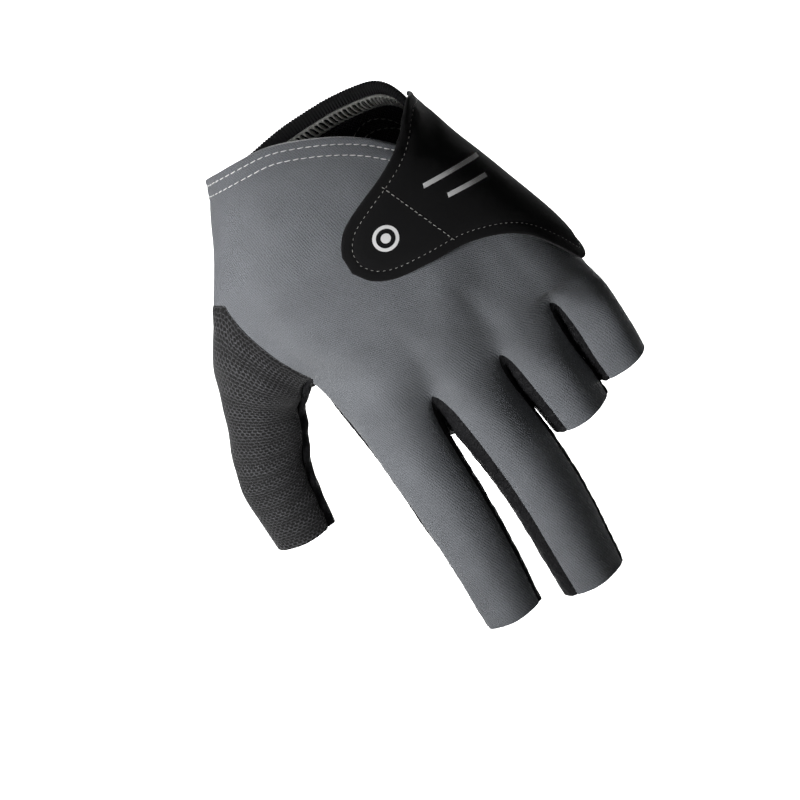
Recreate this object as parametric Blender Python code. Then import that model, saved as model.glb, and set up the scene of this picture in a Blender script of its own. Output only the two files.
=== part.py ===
"""Open-finger billiard glove for the left hand, in the shape that it has on the hand.

Metres, +Z up through the wrist opening, fingers towards -Z, the back of the hand towards -Y,
the thumb towards -X. The origin is the middle of the wrist opening.

One smooth hand form is drawn as a cage of quads from short tables of sections. The cloth pieces
are cut from that form along its edges and given their own thickness.
"""

import math

import bpy
import numpy as np
from mathutils import Vector
from mathutils.bvhtree import BVHTree

# Sizes of the glove on the hand
PALM_LENGTH = 0.090
HAND_BREADTH = 0.090
HAND_DEPTH = 0.040
INDEX_LENGTH = 0.0765
MIDDLE_LENGTH = 0.0796
RING_LENGTH = 0.0340
LITTLE_LENGTH = 0.0322
FINGER_BREADTH = 0.021
THUMB_LENGTH = 0.0526
THUMB_BREADTH = 0.023

# Thicknesses and clearances
CLOTH = 0.0012
LEATHER = 0.0011
STRAP_THICKNESS = 0.0016
BINDING_THICKNESS = 0.0022
HEM_THICKNESS = 0.0022
OVERLOCK_THICKNESS = 0.0010
HOOK_THICKNESS = 0.0010
PAD_THICKNESS = 0.0014
SEAM_GAP = 0.00038
LAYER_GAP = 0.0005
BINDING_PROUD = 0.0005

# The furthest that a sharp corner of a piece and the end of a slit are drawn back, in
# half seam gaps, and how near to one direction a seam's two edges leave a slit's end
MITRE_LIMIT = 3.0
SLIT_REACH = 3.0
SLIT_TURN = 0.3

# Passes that fit the smooth form to the tabled points, and its levels of subdivision
FIT_PASSES = 4
SMOOTH_LEVELS = 1

# Sections of the palm from the wrist to the knuckles. along and slant are shares of
# PALM_LENGTH, the x columns shares of HAND_BREADTH, the y columns shares of HAND_DEPTH.
# slant moves the palm side further down than the back; hem says how much of the wrist
# edge's curve the section takes; ridge lifts the back over each finger bone; roll turns
# the section about its middle, in degrees.
PALM_COLUMNS = (
    "along",
    "radial",
    "back_corner",
    "palm_corner",
    "ulnar",
    "back",
    "palm",
    "slant",
    "hem",
    "ridge",
    "roll",
)
PALM_ROWS = (
    (0.000, -0.370, -0.328, -0.322, 0.351, -0.50, 0.50, 0.000, 1.00, 0.000, 0),
    (0.055, -0.387, -0.345, -0.342, 0.366, -0.51, 0.51, 0.000, 0.96, 0.000, 0),
    (0.100, -0.412, -0.372, -0.362, 0.381, -0.52, 0.52, 0.000, 0.80, 0.000, 0),
    (0.215, -0.470, -0.432, -0.408, 0.412, -0.52, 0.52, 0.000, 0.40, 0.000, 1),
    (0.344, -0.547, -0.522, -0.433, 0.456, -0.51, 0.52, 0.000, 0.08, 0.000, 2),
    (0.478, -0.528, -0.502, -0.389, 0.507, -0.50, 0.50, 0.010, 0.00, 0.005, 3),
    (0.612, -0.472, -0.451, -0.344, 0.560, -0.485, 0.44, 0.020, 0.00, 0.010, 5),
    (0.728, -0.386, -0.384, -0.338, 0.598, -0.450, 0.36, 0.050, 0.00, 0.016, 6.5),
    (0.842, -0.351, -0.336, -0.328, 0.622, -0.400, 0.295, 0.100, 0.00, 0.022, 8),
)

# The wrist edge's height above the wrist plane, as shares of PALM_LENGTH, at the cage's
# 20 points around: the back from the thumb side to the little finger side, that side, the
# palm on the way home, and the thumb side. The form counts as wrist edge down to
# WRIST_EDGE_LOWEST.
WRIST_EDGE_BACK = (0.096, 0.117, 0.121, 0.099, 0.063, 0.023, -0.032, -0.101, -0.150)
WRIST_EDGE_ULNAR = -0.080
WRIST_EDGE_PALM = (0.000, 0.020, 0.020, 0.018, 0.012, 0.004, -0.010, -0.020, 0.000)
WRIST_EDGE_RADIAL = 0.050
WRIST_EDGE_LOWEST = -0.3

# Where the edges and middles of the four finger roots lie, as shares of the way from
# the thumb side's corner to the little finger side's corner of a section
ROOT_SHARES = (0.0, 0.138, 0.278, 0.417, 0.556, 0.673, 0.790, 0.895, 1.0)

# The knuckle over each finger root: how far it leans towards the finger's own middle, how
# far it stands out from the finger's half depth, and how much further down the palm side
# lies, as a share of PALM_LENGTH
KNUCKLE_LEAN = 0.35
KNUCKLE_RISE = 1.06
KNUCKLE_PALM_DROP = 0.150

# Finger sections from root to open end. along is a share of the finger's length, x, y
# shares of HAND_BREADTH and HAND_DEPTH, breadth and depth shares of FINGER_BREADTH,
# slant and tilt shares of FINGER_BREADTH: how much further down the palm side is than
# the back, and the little finger side than the thumb side.
FINGER_COLUMNS = ("along", "x", "y", "breadth", "depth", "slant", "tilt")
FINGERS = (
    {
        "name": "index",
        "length": INDEX_LENGTH,
        "root": 0.978,
        "roll": 3,
        "angles": (-50, 0, 62, 92, 128, 180, -128, -80),
        "rows": (
            (0.215, -0.190, -0.09, 1.090, 1.00, 0.43, 0.00),
            (0.395, -0.177, -0.09, 1.040, 0.97, 0.14, 0.00),
            (0.610, -0.166, -0.08, 0.990, 0.94, 0.00, 0.00),
            (0.805, -0.162, -0.06, 0.945, 0.91, 0.00, 0.00),
            (1.000, -0.161, -0.04, 0.872, 0.86, 0.00, 0.00),
        ),
    },
    {
        "name": "middle",
        "length": MIDDLE_LENGTH,
        "root": 0.967,
        "roll": 11,
        "angles": (-52, 0, 70, 98, 128, 180, -128, -90),
        "rows": (
            (0.210, 0.085, -0.12, 1.110, 1.02, 0.43, 0.00),
            (0.395, 0.111, -0.12, 1.100, 0.99, 0.14, 0.00),
            (0.610, 0.128, -0.11, 1.075, 0.97, 0.00, 0.00),
            (0.805, 0.131, -0.09, 1.040, 0.94, 0.00, 0.00),
            (1.000, 0.131, -0.07, 0.975, 0.90, 0.00, 0.00),
        ),
    },
    {
        "name": "ring",
        "length": RING_LENGTH,
        "root": 0.945,
        "roll": 14,
        "angles": (-54, 0, 72, 98, 128, 180, -128, -92),
        "rows": (
            (0.470, 0.329, -0.04, 1.010, 0.96, 0.50, 0.00),
            (0.735, 0.349, -0.03, 0.980, 0.93, 0.20, -0.04),
            (0.985, 0.361, -0.02, 0.930, 0.89, 0.00, -0.09),
        ),
    },
    {
        "name": "little",
        "length": LITTLE_LENGTH,
        "root": 0.885,
        "roll": 18,
        "angles": (-58, 0, 50, 95, 128, 180, -128, -92),
        "rows": (
            (0.460, 0.546, 0.06, 0.890, 0.88, 0.40, 0.00),
            (0.730, 0.555, 0.07, 0.880, 0.86, 0.18, -0.06),
            (1.000, 0.562, 0.08, 0.825, 0.82, 0.00, -0.12),
        ),
    },
)

# The saddles between the finger roots: heights of the back edge, the middle and the
# palm edge below the wrist plane as shares of PALM_LENGTH, and their depth shares.
WEB_COLUMNS = ("back", "middle", "palm", "y_back", "y_palm")
WEBS = (
    (0.967, 1.130, 1.190, -0.300, 0.190),
    (0.960, 1.110, 1.155, -0.280, 0.190),
    (0.893, 1.035, 1.080, -0.190, 0.240),
)

# The outer sides of the two outer finger roots, at the back corner, the side and the palm
# corner: the distance below the wrist plane as a share of PALM_LENGTH, and how far the
# point lies from the finger's own section as a share of HAND_BREADTH.
INDEX_ROOT_SIDE = ((0.960, -0.022), (1.020, -0.010), (1.080, -0.014))
LITTLE_ROOT_SIDE = ((0.925, -0.022), (0.980, -0.004), (1.035, -0.004))

# Thumb sections from its root to the open end. x and y place the middle as shares of
# HAND_BREADTH and HAND_DEPTH, along is a share of THUMB_LENGTH from the root's distance
# below the wrist plane, breadth and depth are shares of THUMB_BREADTH, and turn is the
# angle of the breadth below level.
THUMB_ROOT = 0.688
THUMB_COLUMNS = ("x", "y", "along", "breadth", "depth", "turn")
THUMB_ROWS = (
    (-0.527, 0.20, 0.000, 1.360, 1.30, 51),
    (-0.564, 0.25, 0.161, 1.085, 1.08, 27),
    (-0.599, 0.30, 0.368, 1.045, 1.00, 13),
    (-0.638, 0.32, 0.556, 1.000, 0.96, 4),
    (-0.650, 0.31, 0.736, 0.940, 0.90, 0),
    (-0.652, 0.28, 1.000, 0.813, 0.80, 0),
)
THUMB_ANGLES = (35, 72, 108, 145, 180, 215, 252, 288, 325, 0)

# The palm sections between which the thumb opens, and the one where the palm mesh ends
THUMB_FIRST_ROW = 4
THUMB_LAST_ROW = 7
MESH_END_ROW = 4

# The strap's sections from its sewn end round the little finger side to the rounded tab:
# the upper edge's x, y, z and the lower edge's x, y, z, as shares of HAND_BREADTH,
# HAND_DEPTH and PALM_LENGTH.
STRAP_ROWS = (
    (0.358, 0.24, -0.045, 0.590, 0.22, -0.790),
    (0.378, 0.10, -0.038, 0.625, 0.08, -0.828),
    (0.381, -0.05, -0.025, 0.628, -0.02, -0.836),
    (0.361, -0.22, -0.010, 0.606, -0.10, -0.812),
    (0.312, -0.38, -0.036, 0.556, -0.20, -0.728),
    (0.268, -0.46, -0.078, 0.484, -0.30, -0.624),
    (0.213, -0.52, -0.112, 0.405, -0.40, -0.559),
    (0.133, -0.56, -0.155, 0.290, -0.50, -0.516),
    (0.042, -0.58, -0.198, 0.157, -0.56, -0.506),
    (-0.036, -0.59, -0.243, 0.033, -0.58, -0.494),
    (-0.077, -0.58, -0.290, -0.045, -0.58, -0.459),
    (-0.096, -0.58, -0.335, -0.092, -0.58, -0.400),
)
STRAP_COUNT_ALONG = 27
STRAP_COUNT_ACROSS = 13

# The hook patch under the tab: the strap section that it starts at, and its insets from
# the tab's end, in sections, and from its long edges, as a share of the strap's width
HOOK_FROM = 7.1
HOOK_END_INSET = 0.9
HOOK_SIDE_INSET = 0.11
HOOK_COUNT = 9

# The heel pad's middle and half sizes across and down, as shares of HAND_BREADTH and
# PALM_LENGTH, and how round its corners are
PAD_MIDDLE = (0.235, 0.350)
PAD_HALF = (0.150, 0.225)
PAD_ROUNDING = 0.75
PAD_GUESS_Y = 0.60
PAD_COUNT = 11

# How far above the wrist plane the form is carried on to guide the strap
COLLAR_TOP = 0.24 * PALM_LENGTH

# The pieces that the hand form is cut into
(
    BACK,
    PALM,
    PALM_MESH,
    THUMB_MESH,
    THUMB_LEATHER,
    INDEX_MIDDLE_STRIP,
    MIDDLE_RING_STRIP,
    RING_LITTLE_STRIP,
    BINDING,
) = range(9)
STRIPS = (INDEX_MIDDLE_STRIP, MIDDLE_RING_STRIP, RING_LITTLE_STRIP)


def row_of(columns, values):
    return dict(zip(columns, values))


def clear_scene():
    for item in list(bpy.data.objects):
        bpy.data.objects.remove(item, do_unlink=True)


def section_y(share, depth):
    """The height of a flattened oval section at a share of its half breadth."""
    roundness = 2.4
    return depth * (1 - min(abs(share), 1.0) ** roundness) ** (1 / roundness)


def wrist_edge(slot):
    """How far the wrist edge stands above the wrist plane at one of the 20 points around."""
    if slot <= 8:
        share = WRIST_EDGE_BACK[slot]
    elif slot == 9:
        share = WRIST_EDGE_ULNAR
    elif slot <= 18:
        share = WRIST_EDGE_PALM[slot - 10]
    else:
        share = WRIST_EDGE_RADIAL
    return share * PALM_LENGTH


def turned(x, y, degrees, centre_x):
    """A point of a section turned about the section's middle, little finger side away from -Y."""
    angle = math.radians(degrees)
    dx = x - centre_x
    turned_x = centre_x + dx * math.cos(angle) - y * math.sin(angle)
    turned_y = dx * math.sin(angle) + y * math.cos(angle)
    return turned_x, turned_y


def palm_point(row, slot):
    """One of the 20 points of a palm section: 0 to 8 the back, 9 the little finger side,
    10 to 18 the palm on the way home, 19 the thumb side."""
    radial = row["radial"] * HAND_BREADTH
    ulnar = row["ulnar"] * HAND_BREADTH
    centre = (radial + ulnar) / 2
    half = (ulnar - radial) / 2
    ulnar_corner = centre + 0.9 * half
    if slot == 9 or slot == 19:
        x = ulnar if slot == 9 else radial
        y = 0.0
        side = 0.5
    elif slot < 9:
        first = row["back_corner"] * HAND_BREADTH
        x = first + (ulnar_corner - first) * ROOT_SHARES[slot]
        y = section_y((x - centre) / half, row["back"] * HAND_DEPTH)
        if slot % 2:
            y -= row["ridge"] * HAND_DEPTH
        side = 0.0
    else:
        first = row["palm_corner"] * HAND_BREADTH
        x = first + (ulnar_corner - first) * ROOT_SHARES[18 - slot]
        y = section_y((x - centre) / half, row["palm"] * HAND_DEPTH)
        side = 1.0
    x, y = turned(x, y, row["roll"], centre)
    z = wrist_edge(slot) * row["hem"] - (row["along"] + row["slant"] * side) * PALM_LENGTH
    return (x, y, z)


def finger_point(finger, row, slot):
    """One of the 8 points of a finger section, at its angle from the back's middle."""
    angle = math.radians(finger["angles"][slot])
    roll = math.radians(finger["roll"])
    half_breadth = row["breadth"] * FINGER_BREADTH / 2
    half_depth = row["depth"] * FINGER_BREADTH / 2
    across = half_breadth * math.sin(angle)
    outward = -half_depth * math.cos(angle)
    x = row["x"] * HAND_BREADTH + across * math.cos(roll) - outward * math.sin(roll)
    y = row["y"] * HAND_DEPTH + across * math.sin(roll) + outward * math.cos(roll)
    down = finger["root"] * PALM_LENGTH + row["along"] * finger["length"]
    down -= row["slant"] * FINGER_BREADTH * math.cos(angle) / 2
    down += row["tilt"] * FINGER_BREADTH * math.sin(angle) / 2
    return (x, y, -down)


def thumb_point(row, slot):
    """One of the 10 points of a thumb section, from its outer side over the back."""
    angle = math.radians(THUMB_ANGLES[slot])
    turn = math.radians(row["turn"])
    across = -row["breadth"] * THUMB_BREADTH / 2 * math.cos(angle)
    x = row["x"] * HAND_BREADTH + across * math.cos(turn)
    y = row["y"] * HAND_DEPTH - row["depth"] * THUMB_BREADTH / 2 * math.sin(angle)
    down = THUMB_ROOT * PALM_LENGTH + row["along"] * THUMB_LENGTH + across * math.sin(turn)
    return (x, y, -down)


def root_row():
    """The points where the palm meets the fingers: 20 around it and 3 web middles."""
    points = {}
    for number, finger in enumerate(FINGERS):
        first = row_of(FINGER_COLUMNS, finger["rows"][0])
        half_depth = first["depth"] * FINGER_BREADTH / 2
        y = first["y"] * HAND_DEPTH
        middle = number * 2 + 1
        last_palm = row_of(PALM_COLUMNS, PALM_ROWS[-1])
        span = palm_point(last_palm, 8)[0] - palm_point(last_palm, 0)[0]
        x = palm_point(last_palm, 0)[0] + span * ROOT_SHARES[middle]
        x += KNUCKLE_LEAN * (first["x"] * HAND_BREADTH - x)
        down = finger["root"] * PALM_LENGTH
        palm_down = down + KNUCKLE_PALM_DROP * PALM_LENGTH
        points[middle] = (x, y - half_depth * KNUCKLE_RISE, -down)
        points[18 - middle] = (x, y + half_depth * KNUCKLE_RISE, -palm_down)
    for number, values in enumerate(WEBS):
        web = row_of(WEB_COLUMNS, values)
        slot = number * 2 + 2
        before = row_of(FINGER_COLUMNS, FINGERS[number]["rows"][0])
        after = row_of(FINGER_COLUMNS, FINGERS[number + 1]["rows"][0])
        right = before["x"] * HAND_BREADTH + before["breadth"] * FINGER_BREADTH / 2
        left = after["x"] * HAND_BREADTH - after["breadth"] * FINGER_BREADTH / 2
        x = (left + right) / 2
        points[slot] = (x, web["y_back"] * HAND_DEPTH, -web["back"] * PALM_LENGTH)
        points[18 - slot] = (x, web["y_palm"] * HAND_DEPTH, -web["palm"] * PALM_LENGTH)
        middle_y = (web["y_back"] + web["y_palm"]) / 2 * HAND_DEPTH
        points["web%d" % number] = (x, middle_y, -web["middle"] * PALM_LENGTH)
    outer_roots = (
        (FINGERS[0], INDEX_ROOT_SIDE, (0, 19, 18), (0, 7, 6)),
        (FINGERS[-1], LITTLE_ROOT_SIDE, (8, 9, 10), (2, 3, 4)),
    )
    for finger, heights, slots, own_slots in outer_roots:
        first = row_of(FINGER_COLUMNS, finger["rows"][0])
        for slot, own, (height, outward) in zip(slots, own_slots, heights):
            x, y, _ = finger_point(finger, first, own)
            points[slot] = (x + outward * HAND_BREADTH, y, -height * PALM_LENGTH)
    return points


def finger_loop(number):
    """The root row's 8 points that a finger grows from, in the order of its own sections."""
    before = 19 if number == 0 else "web%d" % (number - 1)
    after = 9 if number == 3 else "web%d" % number
    top = number * 2
    return (top, top + 1, top + 2, after, 16 - top, 17 - top, 18 - top, before)


def palm_label(row, slot):
    """Which piece the palm's face between two points around belongs to."""
    if slot < 9 or slot == 19 or (slot == 18 and row < THUMB_FIRST_ROW):
        return BACK
    if row == 0:
        return BINDING
    return PALM_MESH if row < MESH_END_ROW else PALM


def finger_label(number, slot):
    if slot in (0, 1):
        return BACK
    if slot in (4, 5):
        return PALM
    if slot in (2, 3):
        if number == 3:
            return BACK if slot == 2 else PALM
        return STRIPS[number]
    if number == 0:
        return BACK if slot == 7 else PALM
    return STRIPS[number - 1]


def thumb_label(slot):
    return THUMB_LEATHER if slot in (3, 4, 5, 6, 7) else THUMB_MESH


def hand_cage():
    """The whole hand form as quads: its points, its faces and each face's piece and row."""
    points = []
    index = {}
    faces = []
    labels = []
    rows = []

    def add_point(key, place):
        index[key] = len(points)
        points.append(place)

    def add_face(keys, label, row):
        faces.append([index[key] for key in keys])
        labels.append(label)
        rows.append(row)

    last = len(PALM_ROWS)
    for number, values in enumerate(PALM_ROWS):
        row = row_of(PALM_COLUMNS, values)
        for slot in range(20):
            if slot == 19 and THUMB_FIRST_ROW < number < THUMB_LAST_ROW:
                continue
            add_point((number, slot), palm_point(row, slot))
    for slot, place in root_row().items():
        add_point((last, slot), place)
    for number in range(last):
        for slot in range(20):
            after = (slot + 1) % 20
            if slot in (18, 19) and THUMB_FIRST_ROW <= number < THUMB_LAST_ROW:
                continue
            keys = ((number, slot), (number + 1, slot), (number + 1, after), (number, after))
            add_face(keys, palm_label(number, slot), number)
    for number, finger in enumerate(FINGERS):
        before = [(last, slot) for slot in finger_loop(number)]
        for station, values in enumerate(finger["rows"]):
            row = row_of(FINGER_COLUMNS, values)
            now = [("finger", number, station, slot) for slot in range(8)]
            for slot in range(8):
                add_point(now[slot], finger_point(finger, row, slot))
            for slot in range(8):
                after = (slot + 1) % 8
                keys = (before[slot], now[slot], now[after], before[after])
                add_face(keys, finger_label(number, slot), last + station)
            before = now
    dorsal = [(row, 0) for row in range(THUMB_FIRST_ROW, THUMB_LAST_ROW + 1)]
    palmar = [(row, 18) for row in range(THUMB_LAST_ROW, THUMB_FIRST_ROW - 1, -1)]
    before = dorsal + [(THUMB_LAST_ROW, 19)] + palmar + [(THUMB_FIRST_ROW, 19)]
    for station, values in enumerate(THUMB_ROWS):
        row = row_of(THUMB_COLUMNS, values)
        now = [("thumb", station, slot) for slot in range(10)]
        for slot in range(10):
            add_point(now[slot], thumb_point(row, slot))
        for slot in range(10):
            after = (slot + 1) % 10
            keys = (before[slot], now[slot], now[after], before[after])
            add_face(keys, thumb_label(slot), last + station)
        before = now
    return np.array(points), faces, labels, rows


def smooth_weights(count, faces):
    """For each cage point, the weights that give its place on the smooth surface."""
    edge_uses = {}
    for face in faces:
        for corner in range(4):
            edge = tuple(sorted((face[corner], face[(corner + 1) % 4])))
            edge_uses[edge] = edge_uses.get(edge, 0) + 1
    rim = {}
    joined = {}
    for (first, second), uses in edge_uses.items():
        joined.setdefault(first, set()).add(second)
        joined.setdefault(second, set()).add(first)
        if uses == 1:
            rim.setdefault(first, []).append(second)
            rim.setdefault(second, []).append(first)
    weights = np.zeros((count, count))
    for point, near in joined.items():
        if point in rim:
            weights[point, point] = 4 / 6
            for other in rim[point]:
                weights[point, other] += 1 / 6
            continue
        valence = len(near)
        whole = valence * (valence + 5)
        weights[point, point] = valence * valence / whole
        for other in near:
            weights[point, other] = 4 / whole
    for face in faces:
        for corner in range(4):
            point = face[corner]
            if point not in rim:
                valence = len(joined[point])
                weights[point, face[(corner + 2) % 4]] += 1 / (valence * (valence + 5))
    return weights


def fitted(points, faces):
    """The cage pushed out until the smooth surface runs through the tabled points."""
    weights = smooth_weights(len(points), faces)
    cage = points.copy()
    for _ in range(FIT_PASSES):
        cage += points - weights @ cage
    return cage


def mesh_from(name, points, faces):
    mesh = bpy.data.meshes.new(name)
    mesh.from_pydata([tuple(point) for point in points], [], [tuple(face) for face in faces])
    mesh.validate()
    return mesh


def hand_form():
    """The smooth hand form, as a mesh whose faces carry the numbers of their piece and row."""
    points, faces, labels, rows = hand_cage()
    mesh = mesh_from("hand_cage", fitted(points, faces), faces)
    for name, values in (("piece", labels), ("row", rows)):
        mesh.attributes.new(name, "INT", "FACE").data.foreach_set("value", values)
    item = bpy.data.objects.new("hand_cage", mesh)
    bpy.context.collection.objects.link(item)
    smooth = item.modifiers.new("smooth", "SUBSURF")
    smooth.levels = SMOOTH_LEVELS
    smooth.render_levels = SMOOTH_LEVELS
    graph = bpy.context.evaluated_depsgraph_get()
    form = bpy.data.meshes.new_from_object(item.evaluated_get(graph))
    bpy.data.objects.remove(item, do_unlink=True)
    bpy.data.meshes.remove(mesh)
    return form


class Surface:
    """The hand form's points, outward normals and faces, ready to cut pieces from."""

    def __init__(self, form):
        self.points = np.array([vertex.co[:] for vertex in form.vertices])
        self.normals = np.array([vertex.normal[:] for vertex in form.vertices])
        self.faces = [tuple(face.vertices) for face in form.polygons]
        self.piece = [value.value for value in form.attributes["piece"].data]
        self.row = [value.value for value in form.attributes["row"].data]
        self.edge_uses = {}
        for number, face in enumerate(self.faces):
            for corner in range(len(face)):
                edge = tuple(sorted((face[corner], face[(corner + 1) % len(face)])))
                self.edge_uses.setdefault(edge, []).append(number)
        self.grow_collar()

    def grow_collar(self):
        """Carries the form on above the wrist edge, for pieces that reach past that edge."""
        self.all_points = [Vector(point) for point in self.points]
        self.all_normals = [Vector(normal) for normal in self.normals]
        self.all_faces = list(self.faces)
        raised = {}
        for (first, second), users in self.edge_uses.items():
            lowest = min(self.points[first][2], self.points[second][2])
            if len(users) > 1 or lowest < WRIST_EDGE_LOWEST * PALM_LENGTH:
                continue
            for point in (first, second):
                if point not in raised:
                    raised[point] = len(self.all_points)
                    self.all_points.append(Vector((*self.points[point][:2], COLLAR_TOP)))
                    self.all_normals.append(self.all_normals[point])
            self.all_faces.append((first, second, raised[second], raised[first]))
        self.tree = BVHTree.FromPolygons(self.all_points, self.all_faces)

    def landed(self, guess):
        """The nearest place on the form, with its smooth outward normal."""
        place, _, number, _ = self.tree.find_nearest(guess)
        normal = Vector()
        for point in self.all_faces[number]:
            near = (self.all_points[point] - place).length
            normal += self.all_normals[point] / (near + 0.0005)
        return place, normal.normalized()

    def chosen(self, pieces, rows=None):
        wanted = []
        for number, piece in enumerate(self.piece):
            if piece in pieces and (rows is None or self.row[number] in rows):
                wanted.append(number)
        return wanted

    def points_of(self, chosen):
        return sorted({point for number in chosen for point in self.faces[number]})

    def border(self, chosen):
        """The chosen faces' border edges, each in its face's direction, with a flag that says
        whether another piece lies beyond it."""
        inside = set(chosen)
        edges = []
        for number in chosen:
            face = self.faces[number]
            for corner in range(len(face)):
                first, second = face[corner], face[(corner + 1) % len(face)]
                users = self.edge_uses[tuple(sorted((first, second)))]
                if sum(user in inside for user in users) == 1:
                    edges.append((first, second, len(users) > 1))
        return edges


def inward_edges(surface, chosen, points):
    """For each of the points, the sum of the directions of the piece's inner edges there."""
    inside = set(chosen)
    sums = {}
    for (first, second), users in surface.edge_uses.items():
        if sum(user in inside for user in users) < 2:
            continue
        along = surface.points[second] - surface.points[first]
        along /= np.linalg.norm(along)
        if first in points:
            sums[first] = sums.get(first, 0) + along
        if second in points:
            sums[second] = sums.get(second, 0) - along
    return sums


def seam_shifts(surface, chosen, border, distance):
    """How far each border point moves into its own piece to leave the gap at a seam. Where a
    seam turns back on itself, as at the end of a slit, the inner edges give the way."""
    sides = {}
    for first, second, shared in border:
        if not shared:
            continue
        along = surface.points[second] - surface.points[first]
        along /= np.linalg.norm(along)
        for point, leaving in ((first, along), (second, -along)):
            into = np.cross(surface.normals[point], along)
            sides.setdefault(point, []).append((into / np.linalg.norm(into), leaving))
    inner = inward_edges(surface, chosen, set(sides))
    shifts = {}
    for point, meeting in sides.items():
        if len(meeting) == 1:
            shifts[point] = meeting[0][0] * distance
            continue
        (into_a, leaving_a), (into_b, leaving_b) = meeting[:2]
        direction = into_a + into_b
        reach = min(2.0 / max(np.linalg.norm(direction), 0.01), MITRE_LIMIT)
        if np.dot(leaving_a, leaving_b) > SLIT_TURN:
            direction = inner.get(point, leaving_a + leaving_b)
            reach = SLIT_REACH
        shifts[point] = direction / np.linalg.norm(direction) * distance * reach
    return shifts


def layer(surface, chosen, outer, inner, gap=SEAM_GAP / 2):
    """The points and faces of a closed layer between two heights over the chosen faces. A
    height is a number or gives one for each point."""
    border = surface.border(chosen)
    shifts = seam_shifts(surface, chosen, border, gap)
    used = surface.points_of(chosen)
    place = {point: number for number, point in enumerate(used)}
    tops = []
    bottoms = []
    for point in used:
        base = surface.points[point] + shifts.get(point, np.zeros(3))
        normal = surface.normals[point]
        high = outer(point) if callable(outer) else outer
        low = inner(point) if callable(inner) else inner
        tops.append(base + normal * high)
        bottoms.append(base + normal * low)
    count = len(used)
    faces = []
    for number in chosen:
        face = [place[point] for point in surface.faces[number]]
        faces.append(tuple(face))
        faces.append(tuple(point + count for point in reversed(face)))
    for first, second, _ in border:
        a, b = place[first], place[second]
        # Both pieces at a seam split their edge faces along the same diagonal.
        if first < second:
            faces += [(b, a, b + count), (a, a + count, b + count)]
        else:
            faces += [(b, a, a + count), (b, a + count, b + count)]
    return tops + bottoms, faces


def spline(values, position):
    """A value on the smooth line through evenly numbered values."""
    last = len(values) - 1
    start = min(int(position), last - 1)
    part = position - start
    p0 = values[max(start - 1, 0)]
    p1 = values[start]
    p2 = values[start + 1]
    p3 = values[min(start + 2, last)]
    return 0.5 * (2 * p1 + (p2 - p0) * part + (2 * p0 - 5 * p1 + 4 * p2 - p3) * part**2
                  + (3 * p1 - p0 - 3 * p2 + p3) * part**3)


def sheet(grid, low, high):
    """A closed sheet over a grid of landed places: low and high give its two heights there."""
    count_a = len(grid)
    count_b = len(grid[0])
    points = []
    for heights in (high, low):
        for a, line in enumerate(grid):
            for b, (place, normal) in enumerate(line):
                points.append(place + normal * heights(a / (count_a - 1), b / (count_b - 1)))
    layer_size = count_a * count_b

    def at(level, a, b):
        return level * layer_size + a * count_b + b

    faces = []
    for a in range(count_a - 1):
        for b in range(count_b - 1):
            faces.append((at(0, a, b), at(0, a + 1, b), at(0, a + 1, b + 1), at(0, a, b + 1)))
            faces.append((at(1, a, b + 1), at(1, a + 1, b + 1), at(1, a + 1, b), at(1, a, b)))
    for a in range(count_a - 1):
        for b in (0, count_b - 1):
            side = (at(0, a + 1, b), at(0, a, b), at(1, a, b), at(1, a + 1, b))
            faces.append(side if b == 0 else side[::-1])
    for b in range(count_b - 1):
        for a in (0, count_a - 1):
            side = (at(0, a, b), at(0, a, b + 1), at(1, a, b + 1), at(1, a, b))
            faces.append(side if a == 0 else side[::-1])
    return points, faces


def even_sheet(grid, low, thickness):
    return sheet(grid, lambda a, b: low, lambda a, b: low + thickness)


def strap_guess(position, share):
    """A place near the strap's middle layer: position counts the strap's sections from the
    sewn end, share runs from its upper edge to its lower edge."""
    scale = (HAND_BREADTH, HAND_DEPTH, PALM_LENGTH) * 2
    ends = []
    for column in range(6):
        values = [row[column] for row in STRAP_ROWS]
        ends.append(spline(values, position) * scale[column])
    upper = Vector(ends[:3])
    lower = Vector(ends[3:])
    return upper.lerp(lower, share)


def strap_lift(position):
    """How far the strap's underside stands above the hand form: more over the hook patch."""
    sewn = BINDING_PROUD + LAYER_GAP
    over_patch = HOOK_THICKNESS + 2 * LAYER_GAP
    share = min(max((position - 2.0) / (HOOK_FROM - 3.0), 0.0), 1.0)
    return sewn + (over_patch - sewn) * share * share * (3 - 2 * share)


def strap_grid(surface, first, last, inset, count_along, count_across):
    grid = []
    for a in range(count_along):
        position = first + (last - first) * a / (count_along - 1)
        line = []
        for b in range(count_across):
            share = inset + (1 - 2 * inset) * b / (count_across - 1)
            line.append(surface.landed(strap_guess(position, share)))
        grid.append(line)
    return grid


def material_of(name, colour, roughness):
    material = bpy.data.materials.new(name)
    material.use_nodes = True
    shader = material.node_tree.nodes["Principled BSDF"]
    shader.inputs["Base Color"].default_value = (*colour, 1.0)
    shader.inputs["Roughness"].default_value = roughness
    shader.inputs["Metallic"].default_value = 0.0
    return material


def grey_knit():
    return material_of("grey_stretch_knit", (0.185, 0.195, 0.210), 0.80)


def palm_leather():
    return material_of("black_palm_leather", (0.018, 0.018, 0.020), 0.55)


def palm_mesh_knit():
    return material_of("black_palm_mesh", (0.022, 0.022, 0.024), 0.85)


def thumb_mesh_knit():
    return material_of("black_thumb_mesh", (0.045, 0.045, 0.050), 0.85)


def thumb_leather():
    return material_of("black_thumb_leather", (0.020, 0.020, 0.022), 0.50)


def strip_leather(name):
    return material_of(name + "_leather", (0.024, 0.024, 0.026), 0.55)


def binding_elastic():
    return material_of("black_ribbed_elastic", (0.020, 0.020, 0.022), 0.80)


def overlock_thread():
    return material_of("grey_overlock_thread", (0.300, 0.305, 0.310), 0.85)


def strap_suede():
    return material_of("black_strap_suede", (0.016, 0.016, 0.018), 0.75)


def hook_tape():
    return material_of("black_hook_tape", (0.012, 0.012, 0.013), 0.70)


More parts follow.
